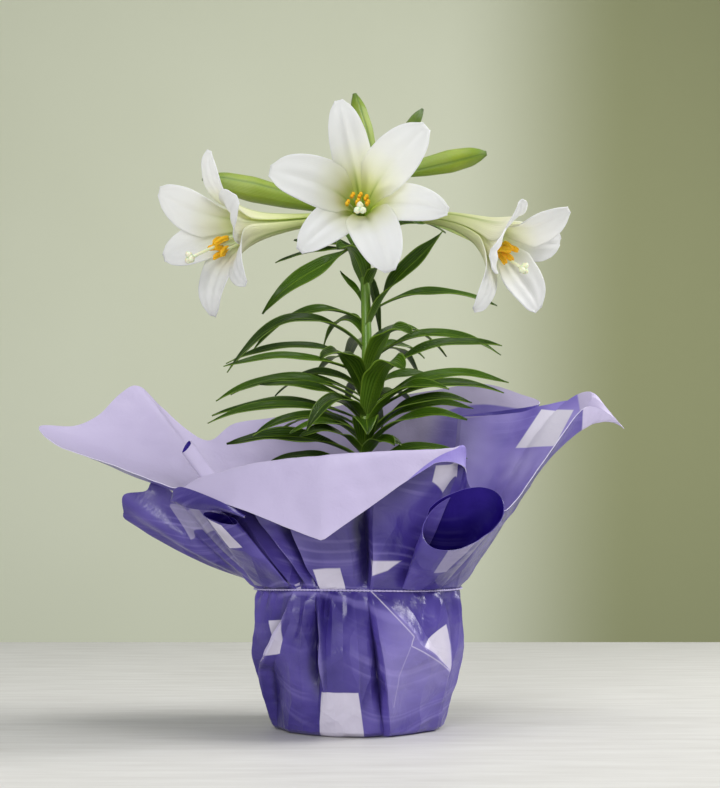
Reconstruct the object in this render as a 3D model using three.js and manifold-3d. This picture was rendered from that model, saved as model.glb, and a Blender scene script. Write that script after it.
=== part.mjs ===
// Potted lily: a trumpet lily in a nursery pot, gathered in one sheet of florists' paper.
// Millimetres, +Z up, -Y is the front. The origin is the centre of the base, on the table.
import * as THREE from 'three';
import Module from 'manifold-3d';

// Driving dimensions
const WAIST_Z = 112;            // height of the tie
const WAIST_R = 82;             // radius of the gathered sheet at the tie
const SHEET = 0.8;              // thickness of the sheet
const POT_RIM_R = 79.5;
const POT_HEIGHT = 110;
const POT_WALL = 1.8;
const POT_FOOT_R = 59;
const RIM_BAND = 14;
const GAP = 0.3;                // clearance between pieces that touch
const SOIL_TOP = 97;
const HOLE_R = 5;               // plain hole in the soil for the stem
const BULB_R = 24;
const BULB_Z = 36;              // height of the middle of the bulb
const BULB_TOP = 60;
const STEM_R = 4.4;
const STEM_TOP_R = 3.6;
const TEPAL = 0.9;              // thickness of a tepal
const LEAF = 1.7;               // thickness of a leaf along its midrib
const SLIVER = 0.03;            // detail smaller than this is merged away after a join

const wasm = await Module();
wasm.setup();

const V = (x, y, z) => new THREE.Vector3(x, y, z);
const rad = THREE.MathUtils.degToRad;
const mix = (a, b, t) => a + (b - a) * t;

// Mesh tools

// A closed solid from shared vertices and triangles, turned so that its faces point out.
function solid(points, faces) {
  let volume = 0;
  for (const [a, b, c] of faces) {
    volume += points[a].dot(new THREE.Vector3().crossVectors(points[b], points[c]));
  }
  const outward = volume > 0 ? faces : faces.map(([a, b, c]) => [a, c, b]);
  return new wasm.Manifold(new wasm.Mesh({
    numProp: 3,
    vertProperties: new Float32Array(points.flatMap((p) => [p.x, p.y, p.z])),
    triVerts: new Uint32Array(outward.flat()),
  }));
}

// Joins solids into one body, without the slivers that joining leaves. A hollow that the joining seals
// is filled and a loose scrap is dropped.
function fuse(solids) {
  const joined = solids.reduce((sum, piece) => sum.add(piece)).asOriginal().simplify(SLIVER);
  const bodies = joined.decompose();
  return bodies.reduce((best, body) => (body.volume() > best.volume() ? body : best));
}

function geometryOf(shape) {
  const mesh = shape.getMesh();
  const geometry = new THREE.BufferGeometry();
  geometry.setAttribute('position', new THREE.BufferAttribute(mesh.vertProperties, 3));
  geometry.setIndex(new THREE.BufferAttribute(mesh.triVerts, 1));
  return geometry;
}

// A thin closed solid round a surface given as rows of points. Both faces share one pattern of
// triangles. A ring surface closes on itself along each row; a pole closes its first row to a point.
function sheetSolid(rows, thickness, ring = false, pole = false) {
  const count = rows[0].length;
  const at = (i, j) => {
    const column = ring ? (j + count) % count : Math.min(Math.max(j, 0), count - 1);
    return rows[Math.min(Math.max(i, 0), rows.length - 1)][column];
  };
  const faces = [];
  const upper = [];
  const lower = [];
  rows.forEach((row, i) => row.forEach((point, j) => {
    const along = at(i + 1, j).clone().sub(at(i - 1, j));
    const across = at(i, j + 1).clone().sub(at(i, j - 1));
    const normal = across.cross(along).normalize().multiplyScalar(thickness / 2);
    upper.push(point.clone().add(normal));
    lower.push(point.clone().sub(normal));
  }));
  const total = upper.length;
  const columns = ring ? count : count - 1;
  const quad = (a, b, c, d) => {
    faces.push([a, b, c], [a, c, d]);
  };
  for (let i = 0; i < rows.length - 1; i += 1) {
    for (let j = 0; j < columns; j += 1) {
      const next = (j + 1) % count;
      const [a, b, c, d] = [i * count + j, i * count + next, (i + 1) * count + next, (i + 1) * count + j];
      quad(a, b, c, d);
      faces.push([total + a, total + c, total + b], [total + a, total + d, total + c]);
    }
  }
  const last = (rows.length - 1) * count;
  for (let j = 0; j < columns; j += 1) {
    const next = (j + 1) % count;
    quad(last + j, last + next, total + last + next, total + last + j);
    if (!pole) quad(next, j, total + j, total + next);
  }
  if (!ring) {
    for (let i = 0; i < rows.length - 1; i += 1) {
      const [a, b] = [i * count, (i + 1) * count];
      quad(a, b, total + b, total + a);
      quad(b + count - 1, a + count - 1, total + a + count - 1, total + b + count - 1);
    }
  }
  const points = [...upper, ...lower];
  if (pole) {
    const centre = rows[0].reduce((sum, p) => sum.add(p), V(0, 0, 0)).divideScalar(count);
    const top = points.push(centre.clone().setZ(upper[0].z)) - 1;
    const bottom = points.push(centre.clone().setZ(lower[0].z)) - 1;
    for (let j = 0; j < columns; j += 1) {
      const next = (j + 1) % count;
      faces.push([top, next, j], [bottom, total + j, total + next]);
    }
  }
  return solid(points, faces);
}

// A closed tube of given radii through points, with flat ends.
function tube(path, radii, sides) {
  const points = [];
  const faces = [];
  path.forEach((centre, i) => {
    const before = path[Math.max(i - 1, 0)];
    const after = path[Math.min(i + 1, path.length - 1)];
    const along = after.clone().sub(before).normalize();
    const guide = Math.abs(along.z) > 0.8 ? V(1, 0, 0) : V(0, 0, 1);
    const side = along.clone().cross(guide).normalize();
    const up = side.clone().cross(along);
    for (let j = 0; j < sides; j += 1) {
      const angle = (2 * Math.PI * j) / sides;
      points.push(centre.clone()
        .addScaledVector(side, radii[i] * Math.cos(angle))
        .addScaledVector(up, radii[i] * Math.sin(angle)));
    }
  });
  for (let i = 0; i < path.length - 1; i += 1) {
    for (let j = 0; j < sides; j += 1) {
      const next = (j + 1) % sides;
      const [a, b, c, d] = [i * sides + j, i * sides + next, (i + 1) * sides + next, (i + 1) * sides + j];
      faces.push([a, b, c], [a, c, d]);
    }
  }
  const last = (path.length - 1) * sides;
  for (let j = 1; j < sides - 1; j += 1) {
    faces.push([0, j + 1, j], [last, last + j, last + j + 1]);
  }
  return solid(points, faces);
}

const curve = (points, steps) => new THREE.CatmullRomCurve3(points).getPoints(steps);

// Wrap

// Each spine of the flared collar: its angle at the tie, then the crest that it passes over and the
// edge of the sheet where it ends. It runs straight to the edge where no crest is given.
const SPINES = [
  [232, [-127, -72, 191], [-136, -84, 178]],
  [243, [-91, -92, 202], [-89, -118, 169]],
  [254, [-50, -104, 209], [-52, -138, 159]],
  [264, [-24, -110, 211], [-25, -148, 149]],
  [275, [9, -112, 213], [3, -132, 169]],
  [286, [42, -106, 215], [30, -120, 189]],
  [297, [70, -94, 217], [56, -104, 206]],
  [303, [80, -85, 214], [77, -92, 205]],
  [311, null, [84, -74, 195]],
  [320, null, [104, -60, 190]],
  [332, null, [135, -38, 207]],
  [345, null, [182, -8, 258]],
  [353, [190, 5, 267], [219, 12, 243]],
  [362, [167, 24, 262], [187, 30, 267]],
  [370, null, [155, 38, 264]],
  [377, null, [135, 48, 259]],
  [384, null, [86, 60, 257]],
  [396, null, [157, 88, 270]],
  [404, null, [143, 98, 281]],
  [416, null, [109, 108, 291]],
  [434, null, [61, 116, 285]],
  [452, null, [0, 118, 276]],
  [470, null, [-60, 108, 263]],
  [484, null, [-108, 92, 254]],
  [495, null, [-132, 76, 238]],
  [504, null, [-168, 64, 265]],
  [512, [-131, 50, 213], [-187, 52, 282]],
  [520, [-136, 40, 206], [-201, 42, 274]],
  [528, [-140, 30, 199], [-216, 28, 255]],
  [536, [-142, 18, 194], [-233, 14, 245]],
  [543, [-142, 4, 191], [-259, 0, 244]],
  [551, [-140, -10, 187], [-244, -18, 230]],
  [560, [-136, -24, 183], [-213, -38, 216]],
  [570, [-130, -38, 181], [-179, -58, 205]],
  [580, [-122, -52, 177], [-145, -72, 191]],
];
const STRAIGHT_CREST = 0.6;     // where a straight spine is taken to have its crest
const CREST_TURN = 0.5;         // roundness of the fold over the crest
const PLEATS = 13;              // soft pleats round the pot
const PLEAT_DEPTH = 1.7;
// Height and radius down the gathered wall, from the tie to the foot.
const WALL = [[92, 85.6], [62, 85.4], [28, 75.5], [4, 68.5], [SHEET / 2, 61]];

const periodic = (list, i) => list[((i % list.length) + list.length) % list.length];

// Smooth curve through four numbers, from the second to the third.
function between(a, b, c, d, t) {
  return b + 0.5 * t * (c - a + t * (2 * a - 5 * b + 4 * c - d + t * (3 * (b - c) + d - a)));
}

const spineData = SPINES.map(([degrees, crest, edge]) => {
  const waist = V(WAIST_R * Math.cos(rad(degrees)), WAIST_R * Math.sin(rad(degrees)), WAIST_Z);
  const end = V(...edge);
  return { degrees, end, crest: crest ? V(...crest) : waist.lerp(end, STRAIGHT_CREST) };
});

// The spine at a place u along the list of spines, with u = 0 at the first and whole numbers on each.
function spineAt(u) {
  const i = Math.floor(u);
  const t = u - i;
  const four = [i - 1, i, i + 1, i + 2];
  const degrees = four.map((k) => periodic(spineData, k).degrees + 360 * Math.floor(k / SPINES.length));
  const vector = (key) => {
    const axis = (name) => between(...four.map((k) => periodic(spineData, k)[key][name]), t);
    return V(axis('x'), axis('y'), axis('z'));
  };
  return { angle: rad(between(...degrees, t)), crest: vector('crest'), end: vector('end') };
}

const hermite = (a, ta, b, tb, t) => a.clone().multiplyScalar(2 * t ** 3 - 3 * t ** 2 + 1)
  .addScaledVector(ta, t ** 3 - 2 * t ** 2 + t)
  .addScaledVector(b, 3 * t ** 2 - 2 * t ** 3)
  .addScaledVector(tb, t ** 3 - t ** 2);

// A point of the collar: f runs from 0 at the tie over 1 at the crest to 2 at the edge.
function collarPoint(u, f) {
  const { angle, crest, end } = spineAt(u);
  const waist = V(WAIST_R * Math.cos(angle), WAIST_R * Math.sin(angle), WAIST_Z);
  const rise = crest.clone().sub(waist);
  const fall = end.clone().sub(crest);
  const turn = end.clone().sub(waist).normalize();
  if (f <= 1) {
    return hermite(waist, rise, crest, turn.multiplyScalar(rise.length() * CREST_TURN), f);
  }
  return hermite(crest, turn.multiplyScalar(fall.length() * CREST_TURN), end, fall, f - 1);
}

function wallPoint(angle, z, radius) {
  const swell = Math.sqrt(Math.max(0, Math.sin((Math.PI * z) / WAIST_Z)));
  const wave = Math.sin(PLEATS * angle + 1.3 * Math.sin(3 * angle));
  const r = radius + PLEAT_DEPTH * swell * wave;
  return V(r * Math.cos(angle), r * Math.sin(angle), z);
}

// A second fold of the sheet under the left wing, rooted on the collar: u, then its outer edge.
const LOBE = [
  [26.6, [-143, 20, 148]],
  [29, [-186, 5, 166]],
  [29.8, [-189, -5, 175]],
  [30.6, [-187, -15, 184]],
  [31.8, [-164, -36, 181]],
  [33, [-143, -54, 174]],
  [34.4, [-112, -68, 161]],
];

// Rolled cones of the sheet: root, middle of the mouth, and the two half-widths of the mouth.
const ROLLS = [
  { root: [46, -62, 112], mouth: [78, -101, 165], across: [30, 3, 5], up: [7, 7, 24] },
  { root: [-41, -68, 114], mouth: [-102, -99, 157], across: [17, 4, -5], up: [-1, 4, 8] },
  { root: [-87, -80, 167], mouth: [-131, -60, 223], across: [4, -4, 2.5], up: [2, 3, 4.5] },
];
const ROLL_ARC = 340;           // how far round a roll reaches, in degrees
const ROLL_TAPER = 0.14;        // how much tighter a roll winds from its first edge to its last

function lobeRows() {
  const along = [0.05, 0.3, 0.65, 1];
  return along.map((f) => LOBE.flatMap(([u, edge], k) => {
    const steps = k < LOBE.length - 1 ? [0, 0.5] : [0];
    return steps.map((t) => {
      const at = Math.min(k + 1, LOBE.length - 1);
      const root = collarPoint(mix(u, LOBE[at][0], t), 0.07);
      const outer = V(...edge).lerp(V(...LOBE[at][1]), t);
      const point = root.clone().lerp(outer, f === along[0] ? 0 : f);
      point.z -= 4 * Math.sin(Math.PI * f);
      return point;
    });
  }));
}

function rollRows({ root, mouth, across, up }, columns) {
  return [0.06, 0.35, 0.7, 1].map((f) => Array.from({ length: columns + 1 }, (_, j) => {
    const turn = j / columns;
    const angle = rad(100 + ROLL_ARC * turn);
    const size = 1 - ROLL_TAPER * turn;
    const rim = V(...mouth)
      .addScaledVector(V(...across), size * Math.cos(angle))
      .addScaledVector(V(...up), size * Math.sin(angle));
    return V(...root).lerp(rim, f);
  }));
}

function wrap() {
  const perSpine = 2;
  const columns = SPINES.length * perSpine;
  const places = Array.from({ length: columns }, (_, k) => k / perSpine);
  const angles = places.map((u) => spineAt(u).angle);
  const rows = [];
  rows.push(angles.map((angle) => V(48 * Math.cos(angle), 48 * Math.sin(angle), SHEET / 2)));
  for (const [z, radius] of [...WALL].reverse()) {
    rows.push(angles.map((angle) => wallPoint(angle, z, radius)));
  }
  for (const f of [0, 0.25, 0.7, 1, 1.35, 2]) {
    rows.push(places.map((u) => collarPoint(u, f)));
  }
  const body = sheetSolid(rows, SHEET, true, true);
  const lobe = sheetSolid(lobeRows(), SHEET);
  const rolls = ROLLS.map((roll, k) => sheetSolid(rollRows(roll, k === 0 ? 14 : 8), SHEET));
  return geometryOf(fuse([body, lobe, ...rolls]));
}

function tie() {
  return new THREE.TorusGeometry(WAIST_R + SHEET / 2 + 1.3, 0.8, 3, 48);
}

// Pot, soil and bulb

function pot() {
  const foot = SHEET + GAP;
  const bandZ = POT_HEIGHT - RIM_BAND;
  const shoulder = POT_RIM_R - 4;
  const profile = [
    [0, foot], [POT_FOOT_R, foot], [shoulder, bandZ], [POT_RIM_R, bandZ], [POT_RIM_R, POT_HEIGHT],
    [POT_RIM_R - POT_WALL, POT_HEIGHT], [POT_RIM_R - POT_WALL, bandZ + POT_WALL],
    [shoulder - POT_WALL, bandZ], [POT_FOOT_R - POT_WALL, foot + POT_WALL], [0, foot + POT_WALL],
  ];
  return new THREE.LatheGeometry(profile.map(([r, z]) => new THREE.Vector2(r, z)), 24);
}

function bulbProfile(clearance) {
  const points = [];
  for (let k = 0; k <= 8; k += 1) {
    const angle = Math.PI * (k / 8);
    const height = BULB_Z - (BULB_TOP - BULB_Z + clearance) * Math.cos(angle);
    points.push([(BULB_R + clearance) * Math.sin(angle) ** 0.8, height]);
  }
  points[0][0] = 0;
  points[8][0] = 0;
  return points;
}

function bulb() {
  return new THREE.LatheGeometry(bulbProfile(0).map(([r, z]) => new THREE.Vector2(r, z)), 12);
}

// Soil that fills the pot to just under its rim, with a hole for the stem down to the bulb's chamber.
function soil() {
  const foot = SHEET + GAP + POT_WALL + GAP;
  const bandZ = POT_HEIGHT - RIM_BAND;
  const slope = (z) => (z - SHEET - GAP) / (bandZ - SHEET - GAP);
  const inner = (z) => mix(POT_FOOT_R, POT_RIM_R - 4, slope(z)) - POT_WALL - 2 * GAP;
  const wallTop = bandZ - 2;
  const chamber = bulbProfile(2 * GAP).reverse().slice(1);
  const profile = [
    [0, foot], [inner(foot), foot], [inner(wallTop), wallTop], [inner(wallTop) - 3, SOIL_TOP - 1],
    [52, SOIL_TOP - 2.5], [26, SOIL_TOP - 0.5], [12, SOIL_TOP + 0.5], [HOLE_R, SOIL_TOP],
    [HOLE_R, BULB_TOP + 2 * GAP], ...chamber,
  ];
  return new THREE.LatheGeometry(profile.map(([r, z]) => new THREE.Vector2(r, z)), 24);
}

// Blooms

// A trumpet of six tepals: base on its stalk, the way it faces as a turn about Z and a rise, the roll of
// the first tepal, tepal length, a point that the stalk passes, and for each tepal how far its tip bends
// back and how far it turns aside. Every second tepal is one of the wider inner three.
const BLOOMS = {
  front: {
    base: [4, 20, 403], heading: -91, rise: 4, roll: 194, length: 158, via: [5, 20, 393],
    bend: [109, 107, 104, 110, 110, 98], aside: [2, -3, -1, -4, 2, 5],
  },
  left: {
    base: [-26, -4, 412], heading: -143, rise: -14, roll: 109, length: 147, via: [-8, 3, 401],
    bend: [104, 97, 101, 113, 84, 88], aside: [6, -2, -1, -2, 2, -3],
  },
  right: {
    base: [45, 4, 415], heading: -36, rise: -23, roll: 49, length: 139, via: [22, 5, 402],
    bend: [84, 70, 111, 85, 113, 91], aside: [-8, 4, -7, -3, 11, 3],
  },
};
const THROAT_R = 3.2;           // radius of the trumpet where the tepals leave their stalk
const THROAT_SPREAD = 3;        // opening of the trumpet there, in degrees
const INNER_WIDTH = 43;
const OUTER_WIDTH = 33;
const LAYER = 1.3;              // how far the inner tepals lie inside, and the outer ones outside
const TEPAL_REACH = 0.85;       // furthest that a tepal wraps round the trumpet each way, in radians
// Width of a tepal along its length, as shares of its length and of its full width.
const TEPAL_WIDTH = [
  [0, 0.08], [0.1, 0.2], [0.25, 0.33], [0.45, 0.52], [0.6, 0.76], [0.72, 0.97], [0.82, 1],
  [0.9, 0.82], [0.96, 0.5], [1, 0.1],
];

function profileAt(table, t) {
  const k = Math.min(Math.max(table.findIndex(([x]) => x >= t), 1), table.length - 1);
  const [[x0, y0], [x1, y1]] = [table[k - 1], table[k]];
  return mix(y0, y1, (t - x0) / (x1 - x0));
}

function bloomFrame({ base, heading, rise }) {
  const [turn, lift] = [rad(heading), rad(rise)];
  const axis = V(Math.cos(lift) * Math.cos(turn), Math.cos(lift) * Math.sin(turn), Math.sin(lift));
  const right = axis.clone().cross(V(0, 0, 1)).normalize();
  return { origin: V(...base), axis, right, up: right.clone().cross(axis) };
}

// How far along the axis and out from it a tepal's midrib is, at a share t of its length.
function midrib(length, bend, t) {
  const steps = 48;
  let [along, out] = [0, THROAT_R];
  for (let k = 0; k < steps; k += 1) {
    const slope = rad(THROAT_SPREAD + (bend - THROAT_SPREAD) * (t * ((k + 0.5) / steps)) ** 3);
    along += (Math.cos(slope) * length * t) / steps;
    out += (Math.sin(slope) * length * t) / steps;
  }
  return { along, out, slope: rad(THROAT_SPREAD + (bend - THROAT_SPREAD) * t ** 3) };
}

function tepal(bloom, k) {
  const frame = bloomFrame(bloom);
  const inner = k % 2 === 1;
  const width = inner ? INNER_WIDTH : OUTER_WIDTH;
  const shift = inner ? -LAYER : LAYER;
  const centre = bloom.roll + 60 * k + bloom.aside[k];
  const rows = [0, 0.3, 0.53, 0.68, 0.79, 0.9, 1].map((t) => {
    const { along, out, slope } = midrib(bloom.length, bloom.bend[k], t);
    const half = (width * profileAt(TEPAL_WIDTH, t)) / 2;
    return [-1, -0.36, 0.36, 1].map((side) => {
      const angle = rad(centre) + Math.min(half / out, TEPAL_REACH) * side;
      const lift = shift * Math.min(1, 0.35 + t * 2);
      const r = out + lift * Math.cos(slope);
      return frame.origin.clone()
        .addScaledVector(frame.axis, along - lift * Math.sin(slope))
        .addScaledVector(frame.right, r * Math.cos(angle))
        .addScaledVector(frame.up, r * Math.sin(angle));
    });
  });
  return sheetSolid(rows, TEPAL);
}

function bloom(data) {
  const { origin, axis } = bloomFrame(data);
  const path = [0, 6, 14].map((s) => origin.clone().addScaledVector(axis, s));
  const core = tube(path, [3.4, 4.4, 2.2], 8);
  return geometryOf(fuse([core, ...[0, 1, 2, 3, 4, 5].map((k) => tepal(data, k))]));
}

const STAMEN_START = 14.3;      // distance along the bloom where filaments and style begin
const FILAMENT_LENGTH = 84;
const FILAMENT_R = 0.9;
const ANTHER_LENGTH = 13;
const STYLE_LENGTH = 98;
const STYLE_DROOP = 9;

// Six filaments with anthers across their ends, and the style with its three-lobed stigma.
function stamens(data) {
  const { origin, axis, right, up } = bloomFrame(data);
  const place = (s, x, y) => origin.clone().addScaledVector(axis, s)
    .addScaledVector(right, x).addScaledVector(up, y);
  const end = STAMEN_START + FILAMENT_LENGTH;
  const pieces = [tube([place(STAMEN_START, 0, 0), place(STAMEN_START + 9, 0, -0.2)], [1.9, 1.5], 6)];
  for (let k = 0; k < 6; k += 1) {
    const angle = rad(data.roll + 60 * k + 12);
    const [c, s] = [Math.cos(angle), Math.sin(angle)];
    const spread = [1.2, 3.4, 9.5];
    const path = spread.map((r, i) => place(mix(STAMEN_START + 3, end, i / 2), r * c, r * s));
    pieces.push(tube(path, [FILAMENT_R, FILAMENT_R, FILAMENT_R], 3));
    const tip = path[2];
    const lean = axis.clone().multiplyScalar(0.55)
      .addScaledVector(right, -s * 0.83)
      .addScaledVector(up, c * 0.83);
    const anther = [-0.5, -0.25, 0.25, 0.5].map((t) => (
      tip.clone().addScaledVector(lean, ANTHER_LENGTH * t)));
    pieces.push(tube(anther, [0.7, 1.9, 1.9, 0.7], 4));
  }
  const styleEnd = STAMEN_START + STYLE_LENGTH;
  const style = [0, 0.5, 1].map((t) => place(mix(STAMEN_START, styleEnd, t), 0, -STYLE_DROOP * t * t));
  pieces.push(tube(style, [1.5, 1.3, 1.6], 4));
  for (let k = 0; k < 3; k += 1) {
    const angle = rad(90 + 120 * k);
    const [x, y] = [Math.cos(angle), Math.sin(angle)];
    const lobe = [[-2.5, 0], [1, 2.2], [2.5, 4.2]].map(([s, r]) => (
      place(styleEnd + s, r * x, r * y - STYLE_DROOP)));
    pieces.push(tube(lobe, [1.4, 2.2, 1.2], 4));
  }
  return geometryOf(fuse(pieces));
}

// Buds

// Base on the stalk, tip, greatest radius, and a point that the stalk passes.
const BUDS = {
  left: { base: [-21, 16, 424], tip: [-128, 12, 449], radius: 10.5, via: [-8, 10, 402] },
  top: { base: [16, 16, 440], tip: [-3, 8, 517.5], radius: 8, via: [14, 19, 411] },
  right: { base: [27, 12, 452], tip: [106, 14, 470], radius: 9.5, via: [20, 4, 411] },
  small: { base: [23, 22, 464], tip: [54, 27, 511], radius: 5.5, via: [20, 20, 416] },
};
const BUD_SHAPE = [[0, 0.34], [0.12, 0.5], [0.35, 0.8], [0.62, 1], [0.84, 0.82], [1, 0.28]];

// A spindle with six shallow ridges, where the closed tepals meet.
function bud({ base, tip, radius }) {
  const [start, end] = [V(...base), V(...tip)];
  const axis = end.clone().sub(start).normalize();
  const side = axis.clone().cross(V(0, 1, 0)).normalize();
  const up = side.clone().cross(axis);
  const sides = 12;
  const points = [];
  const faces = [];
  BUD_SHAPE.forEach(([t, share]) => {
    for (let j = 0; j < sides; j += 1) {
      const angle = (2 * Math.PI * j) / sides;
      const r = radius * share * (j % 2 === 0 ? 1 : 0.9);
      points.push(start.clone().lerp(end, t)
        .addScaledVector(side, r * Math.cos(angle))
        .addScaledVector(up, r * Math.sin(angle)));
    }
  });
  const last = BUD_SHAPE.length - 1;
  for (let i = 0; i < last; i += 1) {
    for (let j = 0; j < sides; j += 1) {
      const next = (j + 1) % sides;
      const [a, b, c, d] = [i * sides + j, i * sides + next, (i + 1) * sides + next, (i + 1) * sides + j];
      faces.push([a, b, c], [a, c, d]);
    }
  }
  for (let j = 1; j < sides - 1; j += 1) {
    faces.push([0, j + 1, j], [last * sides, last * sides + j, last * sides + j + 1]);
  }
  return geometryOf(solid(points, faces));
}

// Leafy stem

const STEM = [
  [0, 0, BULB_TOP + GAP], [0, 0, SOIL_TOP + 8], [4, 0, 191], [7, 1, 291], [6, 2, 356], [5, 2, 389],
];
const stemCurve = new THREE.CatmullRomCurve3(STEM.map((p) => V(...p)));

// Each leaf: height of its root, heading about Z (0 is right, 180 left, -90 the front), reach,
// rise of its middle and of its tip above the root, and width.
const LEAVES = [
  [328, 165, 97, 11, -19, 13],
  [313, 138, 50, 20, -2, 16],
  [305, 183, 113, 25, -19, 15],
  [293, 170, 118, 17, 4, 11],
  [283, 190, 116, 15, 6, 11],
  [265, -118, 75, 30, 24, 22],
  [269, 150, 82, 20, 15, 12],
  [260, 178, 122, 22, 4, 14],
  [265, 162, 119, 20, 8, 11],
  [255, 197, 88, 18, 19, 12],
  [246, 173, 127, 17, 7, 13],
  [240, 187, 127, 19, 4, 12],
  [232, 208, 99, 17, -1, 12],
  [248, -128, 74, 14, -14, 16],
  [231, 220, 76, 13, 2, 10],
  [215, 184, 111, 19, 13, 19],
  [219, -138, 68, 18, 12, 15],
  [281, -50, 55, 34, 31, 24],
  [244, -62, 64, 44, 38, 26],
  [223, -88, 60, 22, 8, 21],
  [217, -62, 50, 13, 7, 17],
  [221, 32, 42, 12, 3, 14],
  [321, -24, 66, 45, 75, 14],
  [334, 18, 116, 22, 14, 12],
  [293, 10, 113, 27, 11, 13],
  [297, 42, 66, 16, 8, 12],
  [269, -9, 110, 38, 37, 14],
  [271, 38, 92, 18, 14, 13],
  [253, 5, 118, 32, 27, 14],
  [259, 24, 112, 22, 21, 10],
  [247, -14, 113, 28, 20, 12],
  [239, -38, 82, 32, 28, 16],
  [229, 14, 93, 32, 31, 13],
  [229, -20, 90, 33, 30, 14],
  [223, -30, 92, 26, 21, 15],
  [383, 188, 80, -12, -46, 15],
  [387, 158, 80, 3, -4, 9],
  [383, 150, 68, 14, 20, 13],
  [379, 20, 66, 22, 16, 14],
  [357, -125, 38, 26, 24, 18],
  [353, -40, 28, 18, 16, 14],
  [369, 72, 44, -10, -50, 9],
  [335, 145, 26, 24, 38, 6],
];
// Leaves at the back, and the young ones low on the stem, follow one spiral habit: each heading steps
// on from the last by the golden angle.
const GOLDEN = 137.5;
const BACK_LEAVES = 11;
const LOW_LEAVES = 8;

function backLeaf(k) {
  const heading = 48 + ((k * GOLDEN) % 86);
  const low = k / BACK_LEAVES;
  const reach = mix(104, 116, (k * 0.37) % 1);
  return [mix(309, 219, low), heading, reach, mix(20, 28, low), mix(2, 18, low), 13];
}

function lowLeaf(k) {
  const low = k / LOW_LEAVES;
  const heading = 20 + k * GOLDEN;
  return [mix(203, 137, low), heading, mix(92, 66, low), mix(24, 34, low), mix(16, 40, low), 12];
}

const allLeaves = [
  ...LEAVES,
  ...Array.from({ length: BACK_LEAVES }, (_, k) => backLeaf(k)),
  ...Array.from({ length: LOW_LEAVES }, (_, k) => lowLeaf(k)),
];

const LEAF_STATIONS = [[0, 0.3], [0.16, 0.7], [0.36, 1], [0.58, 0.95], [0.78, 0.68], [0.92, 0.34]];
const LEAF_FOLD = 0.16;         // how far the edges stand above the midrib, as a share of the width
const LEAF_LEAN = 40;           // how far the face of a leaf at either side leans to the front, in degrees

// A narrow arching blade with a keeled section that narrows to a point.
function leaf([rootZ, heading, reach, rise, tipRise, width]) {
  const root = stemCurve.getPoints(60).reduce((best, p) => (
    Math.abs(p.z - rootZ) < Math.abs(best.z - rootZ) ? p : best));
  const out = V(Math.cos(rad(heading)), Math.sin(rad(heading)), 0);
  const side = V(-out.y, out.x, 0);
  const lift = (rise - tipRise / 8) / 0.75;
  const middle = (t) => root.clone().addScaledVector(out, reach * t)
    .setZ(rootZ + 3 * (1 - t) * t * lift + t ** 3 * tipRise);
  const points = [];
  const faces = [];
  LEAF_STATIONS.forEach(([t, share]) => {
    const along = middle(t + 0.02).sub(middle(t - 0.02)).normalize();
    const up = side.clone().cross(along).multiplyScalar(-1);
    const lean = rad(LEAF_LEAN) * -side.y * THREE.MathUtils.smoothstep(t, 0.1, 0.5);
    const across = side.clone().multiplyScalar(Math.cos(lean)).addScaledVector(up, -Math.sin(lean));
    const top = up.clone().multiplyScalar(Math.cos(lean)).addScaledVector(side, Math.sin(lean));
    const half = (width * share) / 2;
    const centre = middle(t);
    const edge = (sign) => centre.clone().addScaledVector(across, sign * half)
      .addScaledVector(top, width * share * LEAF_FOLD);
    points.push(edge(1), centre.clone().addScaledVector(top, LEAF / 2), edge(-1),
      centre.clone().addScaledVector(top, -LEAF / 2));
  });
  const tip = points.push(middle(1)) - 1;
  const last = LEAF_STATIONS.length - 1;
  for (let i = 0; i < last; i += 1) {
    for (let j = 0; j < 4; j += 1) {
      const next = (j + 1) % 4;
      const [a, b, c, d] = [4 * i + j, 4 * i + next, 4 * i + 4 + next, 4 * i + 4 + j];
      faces.push([a, b, c], [a, c, d]);
    }
  }
  faces.push([0, 3, 1], [1, 3, 2]);
  for (let j = 0; j < 4; j += 1) faces.push([4 * last + j, 4 * last + ((j + 1) % 4), tip]);
  return solid(points, faces);
}

// Flower stalks fan out from the top of the stem and end just short of what they carry.
const FORK = [5, 2, 379];
const STALK_GAP = 0.5;

function stalk(base, heading, via, radius) {
  const end = V(...base).addScaledVector(heading, -STALK_GAP);
  const start = V(...FORK);
  const lead = end.clone().addScaledVector(heading, -8);
  return tube(curve([start, V(...via), lead, end], 5), Array(6).fill(radius), 5);
}

function leafyStem() {
  const radii = Array.from({ length: 13 }, (_, i) => mix(STEM_R, STEM_TOP_R, i / 12));
  const stem = tube(stemCurve.getPoints(12), radii, 8);
  const stalks = [
    ...Object.values(BLOOMS).map((data) => stalk(data.base, bloomFrame(data).axis, data.via, 2.8)),
    ...Object.values(BUDS).map(({ base, tip, via }) => (
      stalk(base, V(...tip).sub(V(...base)).normalize(), via, 2.2))),
  ];
  return geometryOf(fuse([stem, ...allLeaves.map(leaf), ...stalks]));
}

// Scene graph

function material(color, roughness) {
  return new THREE.MeshStandardMaterial({ color, roughness, metalness: 0 });
}
const paper = material(0x6c5cb0, 0.35);
const string = material(0xb9aee0, 0.5);
const plastic = material(0x2b3a2c, 0.5);
const peat = material(0x3a2a1e, 0.95);
const scales = material(0xe4d9bd, 0.7);
const green = material(0x3f6a1c, 0.45);
const petal = material(0xf5f3f4, 0.5);
const pollen = material(0xe9980a, 0.8);
const budGreen = material(0x8db32f, 0.45);

const group = new THREE.Group();
function add(name, geometry, look, z = 0, turned = false) {
  const mesh = new THREE.Mesh(geometry, look);
  mesh.name = name;
  mesh.position.z = z;
  if (turned) mesh.rotation.x = Math.PI / 2;
  group.add(mesh);
}

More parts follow.
